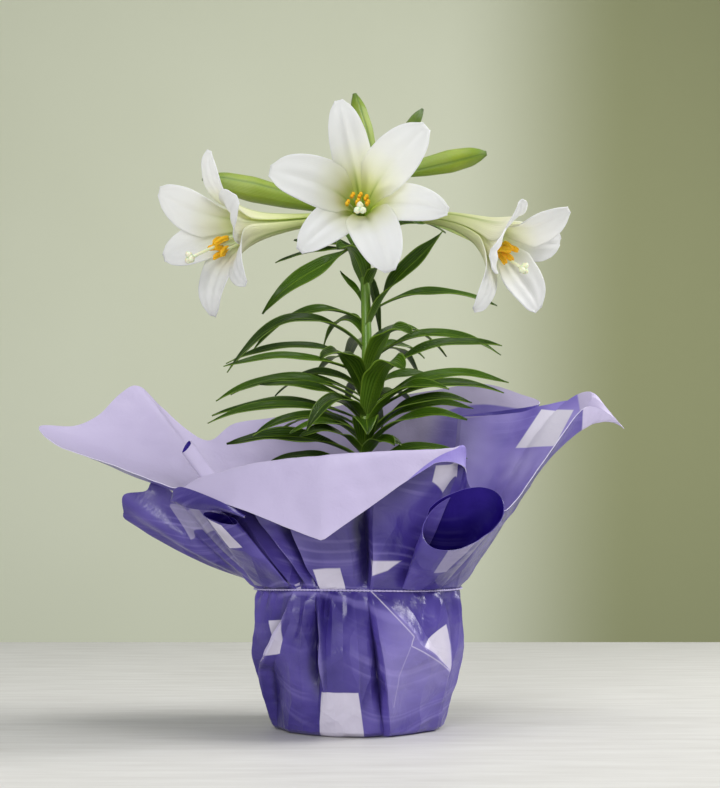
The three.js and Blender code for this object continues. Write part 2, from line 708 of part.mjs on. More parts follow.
add('wrap', wrap(), paper);
add('tie', tie(), string, WAIST_Z);
add('pot', pot(), plastic, 0, true);
add('soil', soil(), peat, 0, true);
add('bulb', bulb(), scales, 0, true);
add('leafy_stem', leafyStem(), green);
for (const [name, data] of Object.entries(BLOOMS)) {
  add(`bloom_${name}`, bloom(data), petal);
  add(`stamens_${name}`, stamens(data), pollen);
}
for (const [name, data] of Object.entries(BUDS)) add(`bud_${name}`, bud(data), budGreen);

export default group;
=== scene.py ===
"""Potted trumpet lily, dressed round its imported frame. Its pot is gathered in violet florists' paper.

The scene is in metres. The sizes below are in millimetres, +Z up, with -Y the front and the origin at the
centre of the base, as in the frame.
"""
import math

import bpy
import numpy as np
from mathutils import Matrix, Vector


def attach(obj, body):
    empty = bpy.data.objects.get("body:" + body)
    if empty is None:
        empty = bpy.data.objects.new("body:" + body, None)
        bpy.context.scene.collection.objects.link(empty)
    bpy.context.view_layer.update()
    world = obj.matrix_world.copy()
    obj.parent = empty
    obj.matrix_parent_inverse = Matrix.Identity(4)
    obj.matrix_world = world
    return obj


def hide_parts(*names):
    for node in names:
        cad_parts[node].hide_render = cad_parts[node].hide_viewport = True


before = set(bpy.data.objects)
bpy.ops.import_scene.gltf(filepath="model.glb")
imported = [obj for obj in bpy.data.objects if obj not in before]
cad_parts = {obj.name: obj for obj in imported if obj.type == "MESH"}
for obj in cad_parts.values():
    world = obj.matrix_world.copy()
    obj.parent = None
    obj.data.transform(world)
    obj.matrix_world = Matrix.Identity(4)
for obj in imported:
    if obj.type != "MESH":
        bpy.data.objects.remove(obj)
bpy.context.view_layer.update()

MM = 0.001
random = np.random.default_rng(11)

# Camera

PHOTO_WIDTH = 720
PHOTO_HEIGHT = 788
PIXEL = 0.81  # what one pixel of the photograph covers at the pot
CAMERA_DISTANCE = 1100
CAMERA_Z = 141
PLANT_COLUMN = 358  # pixel column of the pot's axis
LEVEL_ROW = 553  # pixel row that is level with the camera
SENSOR = 36
CAMERA_TILT = math.radians(1.2)  # upwards, so that less of the framing comes from the lens shift
TILT_TRIM = 0.9  # rows that share out the tilt's small error between foot and blooms


def add_object(name, data):
    made = bpy.data.objects.new(name, data)
    bpy.context.scene.collection.objects.link(made)
    return made


def add_camera():
    data = bpy.data.cameras.new("camera")
    data.sensor_width = SENSOR
    data.lens = SENSOR * CAMERA_DISTANCE / PIXEL / PHOTO_HEIGHT
    data.shift_x = (PHOTO_WIDTH / 2 - PLANT_COLUMN) / PHOTO_HEIGHT
    level = LEVEL_ROW - TILT_TRIM - CAMERA_DISTANCE / PIXEL * math.tan(CAMERA_TILT)
    data.shift_y = (level - PHOTO_HEIGHT / 2) / PHOTO_HEIGHT
    camera = add_object("camera", data)
    camera.location = (0, -CAMERA_DISTANCE * MM, CAMERA_Z * MM)
    camera.rotation_euler = (math.pi / 2 + CAMERA_TILT, 0, 0)
    bpy.context.scene.camera = camera


# Number tools

def between(a, b, c, d, t):
    """Smooth curve through four values, from the second to the third."""
    return b + 0.5 * t * (c - a + t * (2 * a - 5 * b + 4 * c - d + t * (3 * (b - c) + d - a)))


def curve(points, count):
    """Smooth line through points, as a number of places that are even along the list."""
    points = np.array(points, float)
    padded = np.vstack([2 * points[0] - points[1], points, 2 * points[-1] - points[-2]])
    place = np.linspace(0, len(points) - 1, count)
    i = np.minimum(place.astype(int), len(points) - 2)
    return between(*(padded[i + k] for k in range(4)), (place - i)[:, None])


def soft(table, t, width=0.05):
    """A value from a table of pairs, with its corners rounded off over a width."""
    x, y = np.array(table, float).T
    return sum(np.interp(t + width * k, x, y) for k in (-1, -0.6, -0.2, 0.2, 0.6, 1)) / 6


def unit(vectors):
    return vectors / np.maximum(np.linalg.norm(vectors, axis=-1, keepdims=True), 1e-9)


def step(low, high, x):
    """Smooth change from 0 at low to 1 at high."""
    t = np.clip((x - low) / (high - low), 0, 1)
    return t * t * (3 - 2 * t)


def mix(a, b, t):
    return a + (b - a) * t


def turned(degrees):
    return np.stack([np.cos(np.radians(degrees)), np.sin(np.radians(degrees))], -1)


def two_runs(start, middle, end, first, second):
    """Even steps from start to middle, then even steps of another size to the end."""
    return np.concatenate([np.linspace(start, middle, first), np.linspace(middle, end, second)[1:]])


def pairs(first, second):
    """Texture places from two sets of values that fit one another."""
    return np.stack(np.broadcast_arrays(first, second), -1)


WAVES = 7  # number of plane waves in a noise


def waves(points, size, seed):
    """Smooth noise about -1 to 1, with bumps of roughly the given size."""
    own = np.random.default_rng(seed)
    total = 0
    for _ in range(WAVES):
        direction = unit(own.normal(size=3)) * 2 * math.pi / (size * own.uniform(0.8, 1.7))
        total = total + np.sin(points @ direction + own.uniform(0, 2 * math.pi))
    return total / math.sqrt(WAVES)


def creases(points, size, seed):
    """Noise with sharp ridges about -1 to 1, as paper has where it was bent."""
    return 1 - 1.6 * np.abs(waves(points, size, seed)) + 0.3 * waves(points, size * 2, seed + 50)


# Mesh tools

class Shape:
    """Points, faces, texture places and looks of one piece, collected part by part."""

    def __init__(self):
        self.points = []
        self.faces = []
        self.places = []
        self.looks = []
        self.tones = []
        self.count = 0

    def add_points(self, points):
        first = self.count
        points = np.asarray(points, float).reshape(-1, 3)
        self.points.append(points)
        self.count += len(points)
        return first

    def add_faces(self, faces, places, look=0, tone=0.5):
        """Faces as rows of point numbers, with one texture place for each corner."""
        faces = np.asarray(faces)
        self.faces += faces.tolist()
        self.places.append(np.asarray(places, float).reshape(-1, 2))
        self.looks.append(np.broadcast_to(look, len(faces)))
        self.tones.append(np.broadcast_to(np.ravel(tone), faces.size))

    def grid(self, rows, places, look=0, ring=False, flip=False, tone=0.5):
        """A surface of four-sided faces. places has one column more than a ring's points."""
        first = self.add_points(rows)
        height, width = rows.shape[:2]
        i, j = np.meshgrid(np.arange(height - 1), np.arange(width - (not ring)), indexing="ij")
        k = (j + 1) % width
        faces = np.stack([i * width + j, i * width + k, (i + 1) * width + k, (i + 1) * width + j], -1)
        corners = grid_corners(places)
        tone = grid_corners(tone) if np.ndim(tone) else tone
        if flip:
            faces = faces[..., ::-1]
            corners = corners[:, :, ::-1]
            tone = tone[:, :, ::-1] if np.ndim(tone) else tone
        look = np.broadcast_to(look, i.shape).ravel()
        self.add_faces(first + faces.reshape(-1, 4), corners, look, tone)
        return first

    def fan(self, middle, first, count, way, place=(0, 0), look=0, tone=0.5):
        """Closes a ring of points with faces round a middle point."""
        centre = self.add_points(middle)
        j = np.arange(count)
        faces = np.stack([np.full(count, centre), first + (j + 1) % count, first + j][::way], -1)
        self.add_faces(faces, np.broadcast_to(place, (faces.size, 2)), look, tone)

    def sheet(self, rows, thickness, places, ring=False, looks=(0, 1, 2), tone=0.5, pole=False):
        """A thin closed sheet: its upper side, its lower side and its cut edges."""
        height, width = rows.shape[:2]
        normals = surface_normals(rows, ring) * thickness / 2
        top = self.grid(rows + normals, places, looks[0], ring, tone=tone)
        bottom = self.grid(rows - normals, places, looks[1], ring, flip=True, tone=tone)
        tone = 0.5 if np.ndim(tone) else tone
        j = np.arange(width - (not ring))
        k = (j + 1) % width
        last = (height - 1) * width
        rims = [(last + j, last + k, places[-1, j], places[-1, j + 1])]
        if pole:
            for side, first, look, way in ((1, top, looks[0], 1), (-1, bottom, looks[1], -1)):
                middle = (rows + side * normals)[0].mean(axis=0)
                self.fan(middle, first, width, way, places[0, 0], look, tone)
        else:
            rims.append((k, j, places[0, j + 1], places[0, j]))
        if not ring:
            i = np.arange(height - 1)
            for column, way in ((0, 1), (width - 1, -1)):
                one, two = (i, i + 1)[::way]
                ends = places[one, column], places[two, column]
                rims.append((one * width + column, two * width + column, *ends))
        for a, b, at_a, at_b in rims:
            faces = np.stack([top + a, top + b, bottom + b, bottom + a], -1)
            self.add_faces(faces, np.stack([at_a, at_b, at_b, at_a], 1), looks[2], tone)

    def closed(self, rows, places, look=0, tone=0.5, flip=False):
        """Rings of points with a flat face over either end."""
        first = self.grid(rows, places, look, ring=True, flip=flip, tone=tone)
        ring = np.arange(rows.shape[1])
        last = first + (len(rows) - 1) * len(ring)
        for start, place, way in ((first, 0.0, 1 if flip else -1), (last, 1.0, -1 if flip else 1)):
            self.add_faces([start + ring[::way]], np.full((len(ring), 2), place), look, tone)

    def lathe(self, profile, columns, move=None):
        """A closed body turned from radii and heights that start and end on the axis."""
        inner = np.array(profile[1:-1], float)
        flat = inner[:, None, :1] * turned(360 * np.arange(columns) / columns)
        rows = np.concatenate([flat, np.broadcast_to(inner[:, None, 1:], (len(inner), columns, 1))], -1)
        if move is not None:
            rows = move(rows)
        runs = np.linalg.norm(np.diff(inner, axis=0), axis=1)
        down = np.concatenate([[0], np.cumsum(runs)])
        first = self.grid(rows, pairs(np.arange(columns + 1) / columns, down[:, None]), ring=True)
        last = first + (len(inner) - 1) * columns
        self.fan([0, 0, profile[0][1]], first, columns, 1)
        self.fan([0, 0, profile[-1][1]], last, columns, -1)

    def tube(self, path, radii, sides=10, look=0, tone=0.5, squash=1.0):
        """A closed tube of given radii along a path of points."""
        path = np.asarray(path, float)
        radii = np.broadcast_to(radii, len(path))
        along = unit(np.gradient(path, axis=0))
        side = unit(np.cross(along[0], (1.0, 0, 0) if abs(along[0][2]) > 0.8 else (0, 0, 1.0)))
        angles = 2 * math.pi * np.arange(sides) / sides
        rows = []
        for centre, radius, way in zip(path, radii, along):
            side = unit(side - way * np.dot(side, way))
            up = np.cross(way, side)
            rows.append(centre + radius * (np.cos(angles)[:, None] * side
                                           + squash * np.sin(angles)[:, None] * up))
        places = pairs(np.arange(sides + 1) / sides, np.linspace(0, 1, len(path))[:, None])
        self.closed(np.array(rows), places, look, tone)

    def build(self, name, looks, sharp=None):
        """Makes the object, in metres."""
        mesh = bpy.data.meshes.new(name)
        mesh.from_pydata((np.concatenate(self.points) * MM).tolist(), [], self.faces)
        layer = mesh.uv_layers.new(name="place")
        layer.data.foreach_set("uv", np.concatenate(self.places).ravel())
        tone = mesh.uv_layers.new(name="tone")
        tones = np.concatenate(self.tones)
        tone.data.foreach_set("uv", np.stack([tones, tones], -1).ravel())
        for look in looks:
            mesh.materials.append(look)
        mesh.polygons.foreach_set("material_index", np.concatenate(self.looks).astype(np.int32))
        mesh.polygons.foreach_set("use_smooth", np.ones(len(mesh.polygons), bool))
        mesh.update()
        if sharp is not None:
            mesh.set_sharp_from_angle(angle=math.radians(sharp))
        return add_object(name, mesh)


def surface_normals(rows, ring=False):
    """Normals of a grid of points: across its columns turned towards along its rows."""
    if ring:
        across = np.roll(rows, -1, axis=1) - np.roll(rows, 1, axis=1)
    else:
        across = np.gradient(rows, axis=1)
    return unit(np.cross(across, np.gradient(rows, axis=0)))


def pushed(rows, out, ring=False):
    """The grid of points moved out along its normals."""
    return rows + surface_normals(rows, ring) * out[..., None]


def grid_corners(values):
    """The values of a grid at the four corners of each of its faces."""
    return np.stack([values[:-1, :-1], values[:-1, 1:], values[1:, 1:], values[1:, :-1]], 2)


def join(piece, slot, *nodes):
    """Fixes a piece to the body and lets it stand for frame nodes."""
    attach(piece, "root")
    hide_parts(*nodes)


# Material tools

def colour(code):
    """A display colour such as 6A5AA8, as the linear values that a shader takes."""
    parts = [int(code[k:k + 2], 16) / 255 for k in (0, 2, 4)]
    linear = [p / 12.92 if p <= 0.04045 else ((p + 0.055) / 1.055) ** 2.4 for p in parts]
    return (*linear, 1.0)


class Look:
    """A node material round one principled shader."""

    def __init__(self, name, **values):
        self.material = bpy.data.materials.new(name)
        self.material.use_nodes = True
        self.tree = self.material.node_tree
        self.shader = self.tree.nodes["Principled BSDF"]
        self.give(**values)

    def give(self, **values):
        """Sets shader inputs, whose names are written with underscores."""
        for name, value in values.items():
            title = {"ior": "IOR", "base": "Base Color", "specular": "Specular IOR Level"}.get(
                name, name.replace("_", " ").title())
            self.set(self.shader.inputs[title], value)

    def set(self, socket, value):
        """Links another socket, or sets a number, a vector or a colour code."""
        if isinstance(value, bpy.types.NodeSocket):
            self.tree.links.new(value, socket)
        else:
            socket.default_value = colour(value) if isinstance(value, str) else value

    def node(self, kind, *values, **settings):
        """A node with its first inputs set or linked, and its settings."""
        made = self.tree.nodes.new("ShaderNode" + kind)
        for name, value in settings.items():
            setattr(made, name, value)
        for socket, value in zip(made.inputs, values):
            if value is not None:
                self.set(socket, value)
        return made

    def math(self, operation, *values):
        return self.node("Math", *values, operation=operation).outputs[0]

    def times(self, first, second):
        return self.math("MULTIPLY", first, second)

    def plus(self, first, second):
        return self.math("ADD", first, second)

    def lines(self, value, count):
        """Waves along a value, such as the veins across a leaf."""
        return self.math("SINE", self.times(value, count))

    def off_middle(self, across):
        return self.math("ABSOLUTE", self.math("SUBTRACT", across, 0.5))

    def vector(self, operation, first, second, output=0):
        return self.node("VectorMath", first, second, operation=operation).outputs[output]

    def place(self, layer="place"):
        return self.node("UVMap", uv_map=layer).outputs[0]

    def split(self, vector):
        return self.node("SeparateXYZ", vector).outputs

    def tone(self):
        return self.split(self.place("tone"))[0]

    def solid_place(self, stretch=(1, 1, 1)):
        """Places in the object itself, in metres, stretched along the axes."""
        return self.vector("MULTIPLY", self.node("TexCoord").outputs["Object"], stretch)

    def millimetres(self):
        """Side, depth and height in the object, in millimetres."""
        return self.split(self.solid_place((1 / MM, 1 / MM, 1 / MM)))

    def noise(self, scale, detail=3.0, roughness=0.5, distortion=0.0, where=None):
        """Noise in the object itself, or along another place."""
        made = self.node("TexNoise")
        for name, value in (("Vector", where or self.solid_place()), ("Scale", scale), ("Detail", detail),
                            ("Roughness", roughness), ("Distortion", distortion)):
            self.set(made.inputs[name], value)
        return made.outputs["Fac"]

    def facets(self, where, scale):
        """Cone-like cells with sharp creases between them, as in crumpled paper."""
        made = self.node("TexVoronoi", where)
        made.inputs["Scale"].default_value = scale
        return made.outputs["Distance"]

    def band(self, value, low, high, to_low=0.0, to_high=1.0):
        made = self.node("MapRange", value, low, high, to_low, to_high, interpolation_type="SMOOTHSTEP")
        return made.outputs[0]

    def edge(self, value, middle, half, to_low=0.0, to_high=1.0):
        """A change about a middle, over half a width each way."""
        return self.band(value, middle - half, middle + half, to_low, to_high)

    def mix(self, share, first, second):
        made = self.node("Mix", data_type="RGBA")
        for index, value in ((0, share), (6, first), (7, second)):
            self.set(made.inputs[index], value)
        return made.outputs[2]

    def ramp(self, value, *stops):
        """A colour from places that each have a colour code after them."""
        made = self.node("ValToRGB", value)
        elements = made.color_ramp.elements
        while 2 * len(elements) < len(stops):
            elements.new(0.5)
        for element, place, code in zip(elements, stops[::2], stops[1::2]):
            element.position = place
            element.color = colour(code)
        return made.outputs[0]

    def bump(self, *heights):
        """Bumps from pairs of height and size in millimetres, one over another."""
        normal = None
        for height, size in heights:
            made = self.node("Bump")
            made.inputs["Distance"].default_value = size * MM
            self.set(made.inputs["Height"], height)
            if normal is not None:
                self.set(made.inputs["Normal"], normal)
            normal = made.outputs[0]
        self.set(self.shader.inputs["Normal"], normal)
        return self.material

    def let_light_through(self, share):
        """Mixes in light from behind, for a thin petal or leaf."""
        through = self.node("BsdfTranslucent")
        source = self.shader.inputs["Base Color"].links[0].from_socket
        self.set(through.inputs["Color"], source)
        blend = self.node("MixShader", share, self.shader.outputs[0], through.outputs[0])
        self.tree.links.new(blend.outputs[0], self.tree.nodes["Material Output"].inputs["Surface"])
        return self.material


def grain_look(name, stops, scale, detail, height, rough=0.5, stretch=(1, 1, 1), mottled=False, **values):
    """A plain surface shaded and roughened by its grain, and if mottled, also by its parts' tones."""
    look = Look(name, **values)
    grain = look.noise(scale, detail, rough, where=look.solid_place(stretch))
    shade = look.plus(look.times(look.tone(), 0.4), look.times(grain, 0.6)) if mottled else grain
    look.give(base=look.ramp(shade, *stops))
    return look.bump((grain, height))


# Wrap

WAIST_Z = 112  # height of the tie
WAIST_R = 82  # radius of the gathered sheet at the tie
FILM = 0.5  # thickness of the sheet as it is seen
# Each spine: its angle at the tie, the crest that it is folded over, if any, and the edge of the sheet.
SPINES = [
    (232, -127, -72, 193, -129, -84, 187), (243, -91, -92, 202, -89, -118, 173),
    (254, -50, -104, 209, -52, -138, 159), (264, -24, -110, 211, -25, -148, 149),
    (275, 9, -112, 213, 3, -132, 169), (286, 42, -106, 215, 30, -120, 189),
    (297, 70, -94, 217, 56, -104, 206), (303, 80, -85, 214, 77, -92, 205), (311, 86, -78, 188),
    (320, 112, -62, 172), (332, 143, -38, 209), (345, 183, -8, 258), (353, 190, 5, 267, 219, 12, 243),
    (362, 167, 24, 262, 187, 30, 267), (370, 155, 38, 264), (377, 135, 48, 259), (384, 86, 60, 257),
    (396, 157, 88, 270), (404, 143, 98, 281), (416, 109, 108, 291), (434, 61, 116, 285), (452, 0, 117, 276),
    (470, -60, 108, 263), (484, -108, 92, 254), (495, -132, 76, 238), (504, -168, 64, 265),
    (512, -131, 50, 213, -187, 52, 282), (520, -136, 40, 206, -201, 42, 274),
    (528, -140, 30, 199, -216, 28, 255), (536, -142, 18, 194, -233, 14, 245),
    (543, -142, 4, 191, -258, 0, 244), (551, -140, -10, 187, -244, -18, 230),
    (560, -136, -24, 183, -213, -38, 216), (570, -130, -38, 181, -179, -58, 205),
    (580, -122, -52, 177, -145, -72, 191),
]
TURN = len(SPINES)
STRAIGHT_CREST = 0.6  # where a straight spine is taken to have its crest
CREST_TURN = 0.5  # roundness of the fold over the crest
FLAP_END = 6  # the edge of the front flap runs straight up to this spine


def waist_point(degrees):
    return np.concatenate([WAIST_R * turned(degrees), np.full((*np.shape(degrees), 1), WAIST_Z)], -1)


def spine_values():
    """Angle, crest and edge of each spine as one row."""
    values = []
    for angle, *points in SPINES:
        waist, edge = waist_point(angle), np.array(points[-3:])
        crest = points[:3] if len(points) > 3 else waist + (edge - waist) * STRAIGHT_CREST
        values.append([angle, *crest, *edge])
    return np.array(values, float)


SPINE_VALUES = spine_values()


def collar_point(u, f):
    """A point of the collar: u counts spines, and f runs from 0 at the tie over 1 at the crest to 2."""
    i = np.floor(u).astype(int)
    four = []
    for k in (-1, 0, 1, 2):
        values = SPINE_VALUES[(i + k) % TURN].copy()
        values[..., 0] += 360 * np.floor((i + k) / TURN)
        four.append(values)
    values = between(*four, (u - i)[..., None])
    waist = waist_point(values[..., 0])
    crest, edge = values[..., 1:4], values[..., 4:7]
    straight = four[1] + (four[2] - four[1]) * (u - i)[..., None]
    edge = np.where((u % TURN < FLAP_END)[..., None], straight[..., 4:7], edge)
    rise, fall = crest - waist, edge - crest
    turn = unit(edge - waist) * CREST_TURN

    def hermite(a, way_a, b, way_b, t):
        t = t[..., None]
        return (a * (2 * t ** 3 - 3 * t ** 2 + 1) + way_a * (t ** 3 - 2 * t ** 2 + t)
                + b * (3 * t ** 2 - 2 * t ** 3) + way_b * (t ** 3 - t ** 2))

    length = np.linalg.norm(rise, axis=-1, keepdims=True)
    drop = np.linalg.norm(fall, axis=-1, keepdims=True)
    low = hermite(waist, rise, crest, turn * length, f)
    high = hermite(crest, turn * drop, edge, fall, f - 1)
    return np.where(f[..., None] <= 1, low, high)


# Folds round the front of the collar: share of the way up, place round it, and how far it stands out.
COLLAR_FOLDS = [
    [(0, 0.35, 1), (0.3, 0.45, 2), (0.6, 0.5, 1), (1, 0.5, 0)],
    [(0, 0.62, -3), (0.1, 0.75, -6), (0.35, 0.75, -10), (0.55, 0.66, -8), (0.8, 0.66, -3), (1, 0.66, 0)],
    [(0, 0.98, 0), (0.06, 1.12, 1), (0.34, 0.95, 2), (0.5, 0.8, 1.5), (0.8, 0.85, 0.5), (1, 0.9, 0)],
    [(0, 1.55, -2), (0.15, 1.42, -5), (0.38, 1.38, -6), (0.6, 1.4, -2.5), (1, 1.45, 0)],
    [(0, 1.68, 0.5), (0.15, 1.5, 1.6), (0.38, 1.47, 2.2), (0.6, 1.5, 1.2), (1, 1.55, 0)],
    [(0, 2.4, -0.6), (0.15, 2.2, 0.6), (0.4, 2.4, 0.5), (1, 2.4, 0)],
    [(0, 3.3, -0.4), (0.15, 3.4, 0.3), (0.4, 3.3, 0), (1, 3.4, 0)],
    [(0, 3.98, -2), (0.1, 3.98, -4.5), (0.21, 3.97, -6), (0.4, 3.85, -6), (0.6, 3.8, -3), (1, 3.8, 0)],
    [(0, 4.12, 0.6), (0.1, 4.14, 1.8), (0.21, 4.17, 2.4), (0.4, 4.1, 1.5), (0.6, 4.1, 0.6), (1, 4.1, 0)],
    [(0, 4.9, -0.5), (0.15, 5, 0), (0.4, 5, -1), (1, 5, 0)],
    [(0, 6.2, -1.5), (0.1, 6.5, -2), (0.25, 6.9, -1), (1, 7, 0)],
    [(0, 6.45, 0.6), (0.1, 6.8, 1), (0.25, 7.2, 0.4), (1, 7.3, 0)],
    [(0, 8.2, 0.5), (0.1, 8.7, 1.5), (0.25, 9.2, 1), (1, 9.5, 0)],
    [(0, 8.6, -1.5), (0.1, 9, -3), (0.25, 9.5, -2), (0.5, 9.8, 0), (1, 10, 0)],
    [(0, 10.5, 0.5), (0.1, 11.3, 1.2), (0.3, 12, 0.5), (1, 12, 0)],
    [(0, 11.2, -1), (0.1, 11.75, -1.5), (0.3, 12.3, -0.5), (1, 12.3, 0)],
]
BACK_FOLD_START = 14.0  # pleats follow one another evenly from here round the back
BACK_FOLD_STEP = 0.6
BACK_FOLD = [(0, 1.2), (0.15, 1.8), (0.5, 0.8), (1, 0)]
COLLAR_COLUMN = 0.11  # width of a column of faces, as a share of the way to the next spine
COLLAR_DEPTH = 1.4  # how much deeper the folds are than their drawn offsets
COLLAR_FOLD_SHADE = 3.4  # offset of a fold whose painted shade in a valley and painted highlight on a crest are full
COLLAR_GRIP = 0.07  # share of the way up over which the folds grow out of the string's grip
COLLAR_TUCKS = 0.16  # share of the way up that the small tucks reach
PLAN_STEP = 1000  # how far apart the pieces lie on the plan of the print
SPINE_PLAN = 20  # width of the plan from one spine to the next
RISE_PLAN = 60  # height of the plan from the tie to the crest
ROLL_PLAN = 200  # width of the plan of a roll


def fold_lines(folds, along):
    """Place and offset of each fold line at each place along it."""
    lines = [np.array(fold, float).T for fold in folds]
    places = np.stack([np.interp(along, line[0], line[1]) for line in lines], 1)
    offsets = np.stack([np.interp(along, line[0], line[2]) for line in lines], 1)
    return places, offsets


def spread(lines, counts, turn):
    """Fills in columns between each line and the next, round to the first again."""
    after = np.roll(lines, -1, axis=1)
    after[:, -1] += turn
    columns = []
    for k, count in enumerate(counts):
        t = np.arange(count) / count
        columns.append(lines[:, k:k + 1] * (1 - t) + after[:, k:k + 1] * t)
    return np.concatenate(columns, 1)


def collar_folds():
    folds = list(COLLAR_FOLDS)
    count = int((TURN - BACK_FOLD_START) / BACK_FOLD_STEP)
    for k in range(count):
        sign = 1 if k % 2 else -1
        place = BACK_FOLD_START + k * BACK_FOLD_STEP
        folds.append([(f, place, sign * depth) for f, depth in BACK_FOLD])
    return folds


def wrap_piece(name, rows, plan, sharp, **settings):
    shape = Shape()
    shape.sheet(rows, FILM, plan, **settings)
    return shape.build(f"wrap_{name}", WRAP_LOOKS, sharp)


def wrap_collar():
    along = two_runs(0, 1, 2, 36, 34)
    places, offsets = fold_lines(collar_folds(), along)
    widths = np.append(places[-1, 1:], places[-1, 0] + TURN) - places[-1]
    counts = np.maximum(1, np.round(widths / COLLAR_COLUMN).astype(int))
    u = spread(places, counts, TURN)
    offset = spread(offsets, counts, 0)
    f = np.broadcast_to(along[:, None], u.shape)
    rows = collar_point(u, f)
    grip = np.minimum(1, 0.2 + f / COLLAR_GRIP)
    crease = 0.9 * waves(rows, size=62, seed=1) * step(0, 0.5, f)
    crease = crease + 0.2 * waves(rows, size=13, seed=2) * step(0, 0.2, f)
    crease = crease + 0.6 * creases(rows, size=40, seed=12) * step(0, 0.15, f) * step(0.9, 0.5, f)
    turn = np.radians(np.interp(u, np.arange(TURN + 1), np.append(SPINE_VALUES[:, 0], SPINES[0][0] + 360)))
    tucks = gathers(turn, step(COLLAR_TUCKS, 0, f) * step(0, 0.03, f))
    rows = pushed(rows, COLLAR_DEPTH * offset * grip + crease + tucks, ring=True)
    # The offsets of the folds set their painted shade and painted highlight.
    tone = wrapped(painted_fold_shade(offset * grip, COLLAR_FOLD_SHADE))
    plan = pairs(PLAN_STEP + SPINE_PLAN * wrapped(u, TURN), RISE_PLAN * along[:, None])
    return wrap_piece("collar", rows, plan, 12, ring=True, tone=tone)


# Folds of the front of the gathered wall: height, angle and how far it stands out.
WALL_FOLDS = [
    [(112, 193, -0.6), (86, 196, -1.0), (47, 190, -0.8), (4, 184, 0)],
    [(112, 198, 0.6), (86, 205, 1.5), (47, 197, 1.8), (24, 192, 1.0), (4, 190, 0.5)],
    [(112, 231.5, -0.8), (89, 226.5, -2.6), (62, 213.5, -3.2), (49, 203.5, -2.2), (25, 197, -0.6),
     (4, 193.5, 0)],
    [(112, 234, 0.8), (89, 230, 2.6), (62, 217, 3.0), (49, 206.5, 2.4), (25, 199.5, 1.6), (4, 196, 0.5)],
    [(112, 236, 0.2), (90, 233.5, 0), (62, 222, -0.8), (49, 211, -2.2), (25, 204, -2.4), (4, 200, -0.8)],
    [(112, 238.5, -0.3), (90, 238, -1.2), (62, 231, -0.8), (25, 228, 0.8), (2, 218, 0.6)],
    [(112, 243, 0.8), (98, 243, 2.2), (80, 241, 1.0), (40, 238, 0.4), (2, 232, 0.2)],
    [(112, 247.5, -0.8), (95, 247.3, -2.5), (74, 247.2, -4.5), (51, 246, -4.8), (38, 246.5, -2.5),
     (25, 246, -0.5), (2, 242, 0)],
    [(112, 250, 0.8), (95, 250.6, 2.0), (74, 251.3, 2.6), (51, 251.2, 2.6), (36, 251.5, 1.6),
     (20, 248.5, 0.6), (2, 245, 0.4)],
    [(112, 254, -0.9), (98, 253.8, -1.6), (78, 253.6, -0.8), (60, 254, 0.6), (2, 252, 0.5)],
    [(112, 257, 0.7), (98, 257.5, 1.0), (78, 257, 0.8), (2, 256, 0.6)],
    [(112, 262, 0), (74, 262.5, -0.6), (36, 262, 0.2), (2, 262, 0)],
    [(112, 268, 0.6), (74, 269.8, 1.4), (36, 271, 1.6), (2, 274, 1.0)],
    [(112, 271.5, -0.2), (64, 275, -0.8), (40, 277.5, -1.0), (2, 281, -0.3)],
    [(112, 274.6, -0.8), (64, 279.5, -3.4), (40, 282.3, -3.6), (20, 285, -2.6), (2, 288, -1)],
    [(112, 276.6, 1.0), (64, 282.2, 2.6), (40, 285.2, 2.8), (20, 287.8, 2.4), (2, 290.4, 1.2)],
    [(112, 277.8, 1.0), (96, 288, 2.2), (80, 297.6, 3.0), (74, 300.5, 2.6), (68.7, 303.2, 2.8),
     (48.5, 324, 2.6), (30, 326.5, 1.6), (2, 333, 0.6)],
    [(112, 292, -0.4), (96, 299, -0.6), (80, 306, -0.4), (70, 311, 0.2), (48.5, 324.6, 2.4),
     (30, 327.2, 1.5), (2, 333.6, 0.6)],
    [(112, 319, 0.8), (90, 320.3, 1.8), (73, 321.6, 2.2), (49, 325.6, 2.2), (30, 329, 1.4),
     (11, 336, 0.8), (2, 338, 0.4)],
    [(112, 321.5, -0.8), (90, 323.3, -2.0), (73, 324.8, -2.0), (49, 328.6, -0.8), (30, 332, 0),
     (11, 339, 0), (2, 341, 0)],
    [(112, 338, 0.6), (86, 337, 1.4), (54, 342, 1.6), (20, 345, 1.0), (2, 350, 0.3)],
    [(112, 350, -0.5), (86, 347, -0.9), (54, 352, -0.6), (2, 358, 0)],
]
WALL = [(0, 68), (4, 68.5), (28, 75.5), (62, 85.4), (92, 85.6), (104, 84.6), (112, 82)]
POT_LINE = ([4, 92, 95, 112], [60.5, 76.5, 81, 81])  # heights and least radii that clear the pot
FOOT = [(20, 0), (48, 0), (61, 0), (64.5, 0.6), (67, 2.0)]  # radius and height up from the table
FOLD_DEPTH = 2.1  # how much deeper the folds are than their drawn offsets
BULGE = 0.15  # how much of its bow a facet between two folds keeps
WALL_COLUMN = 1.7  # width of a column of faces, in degrees
WALL_FOLD_SHADE = 3.2  # offset of a fold whose painted shade in a valley and painted highlight on a crest are full
GATHERS = 38  # small tucks that the string pulls in
WALL_TUCKS = 22  # how far down they reach, in millimetres
WALL_GRIP = 9  # how far down the folds grow out of the string's grip


def gathers(angles, share):
    """Tucks next to the string, which die out as share falls from 1 to 0."""
    uneven = 0.6 + 0.5 * np.sin(7 * angles + 1)
    return uneven * share * np.sin(GATHERS * angles + 2 * np.sin(5 * angles) + 1.5 * np.sin(3 * angles))


DENT_SLANT = 0.8  # how far a dent rises for each degree round the pot
# Small dents under the tie: angle, height, depth, and half-sizes in degrees and millimetres.
DENTS = [
    (222, 99, 1.6, 2.5, 9), (241, 100, 1.8, 2, 8), (253.5, 99, 1.8, 1.6, 9), (264.5, 98, 1.5, 2.2, 7),
    (298, 101, 1.2, 2.6, 6), (306, 94, 1.4, 2.2, 7), (314, 99, 1.1, 2.2, 8), (331, 100, 1.8, 2.5, 9),
]


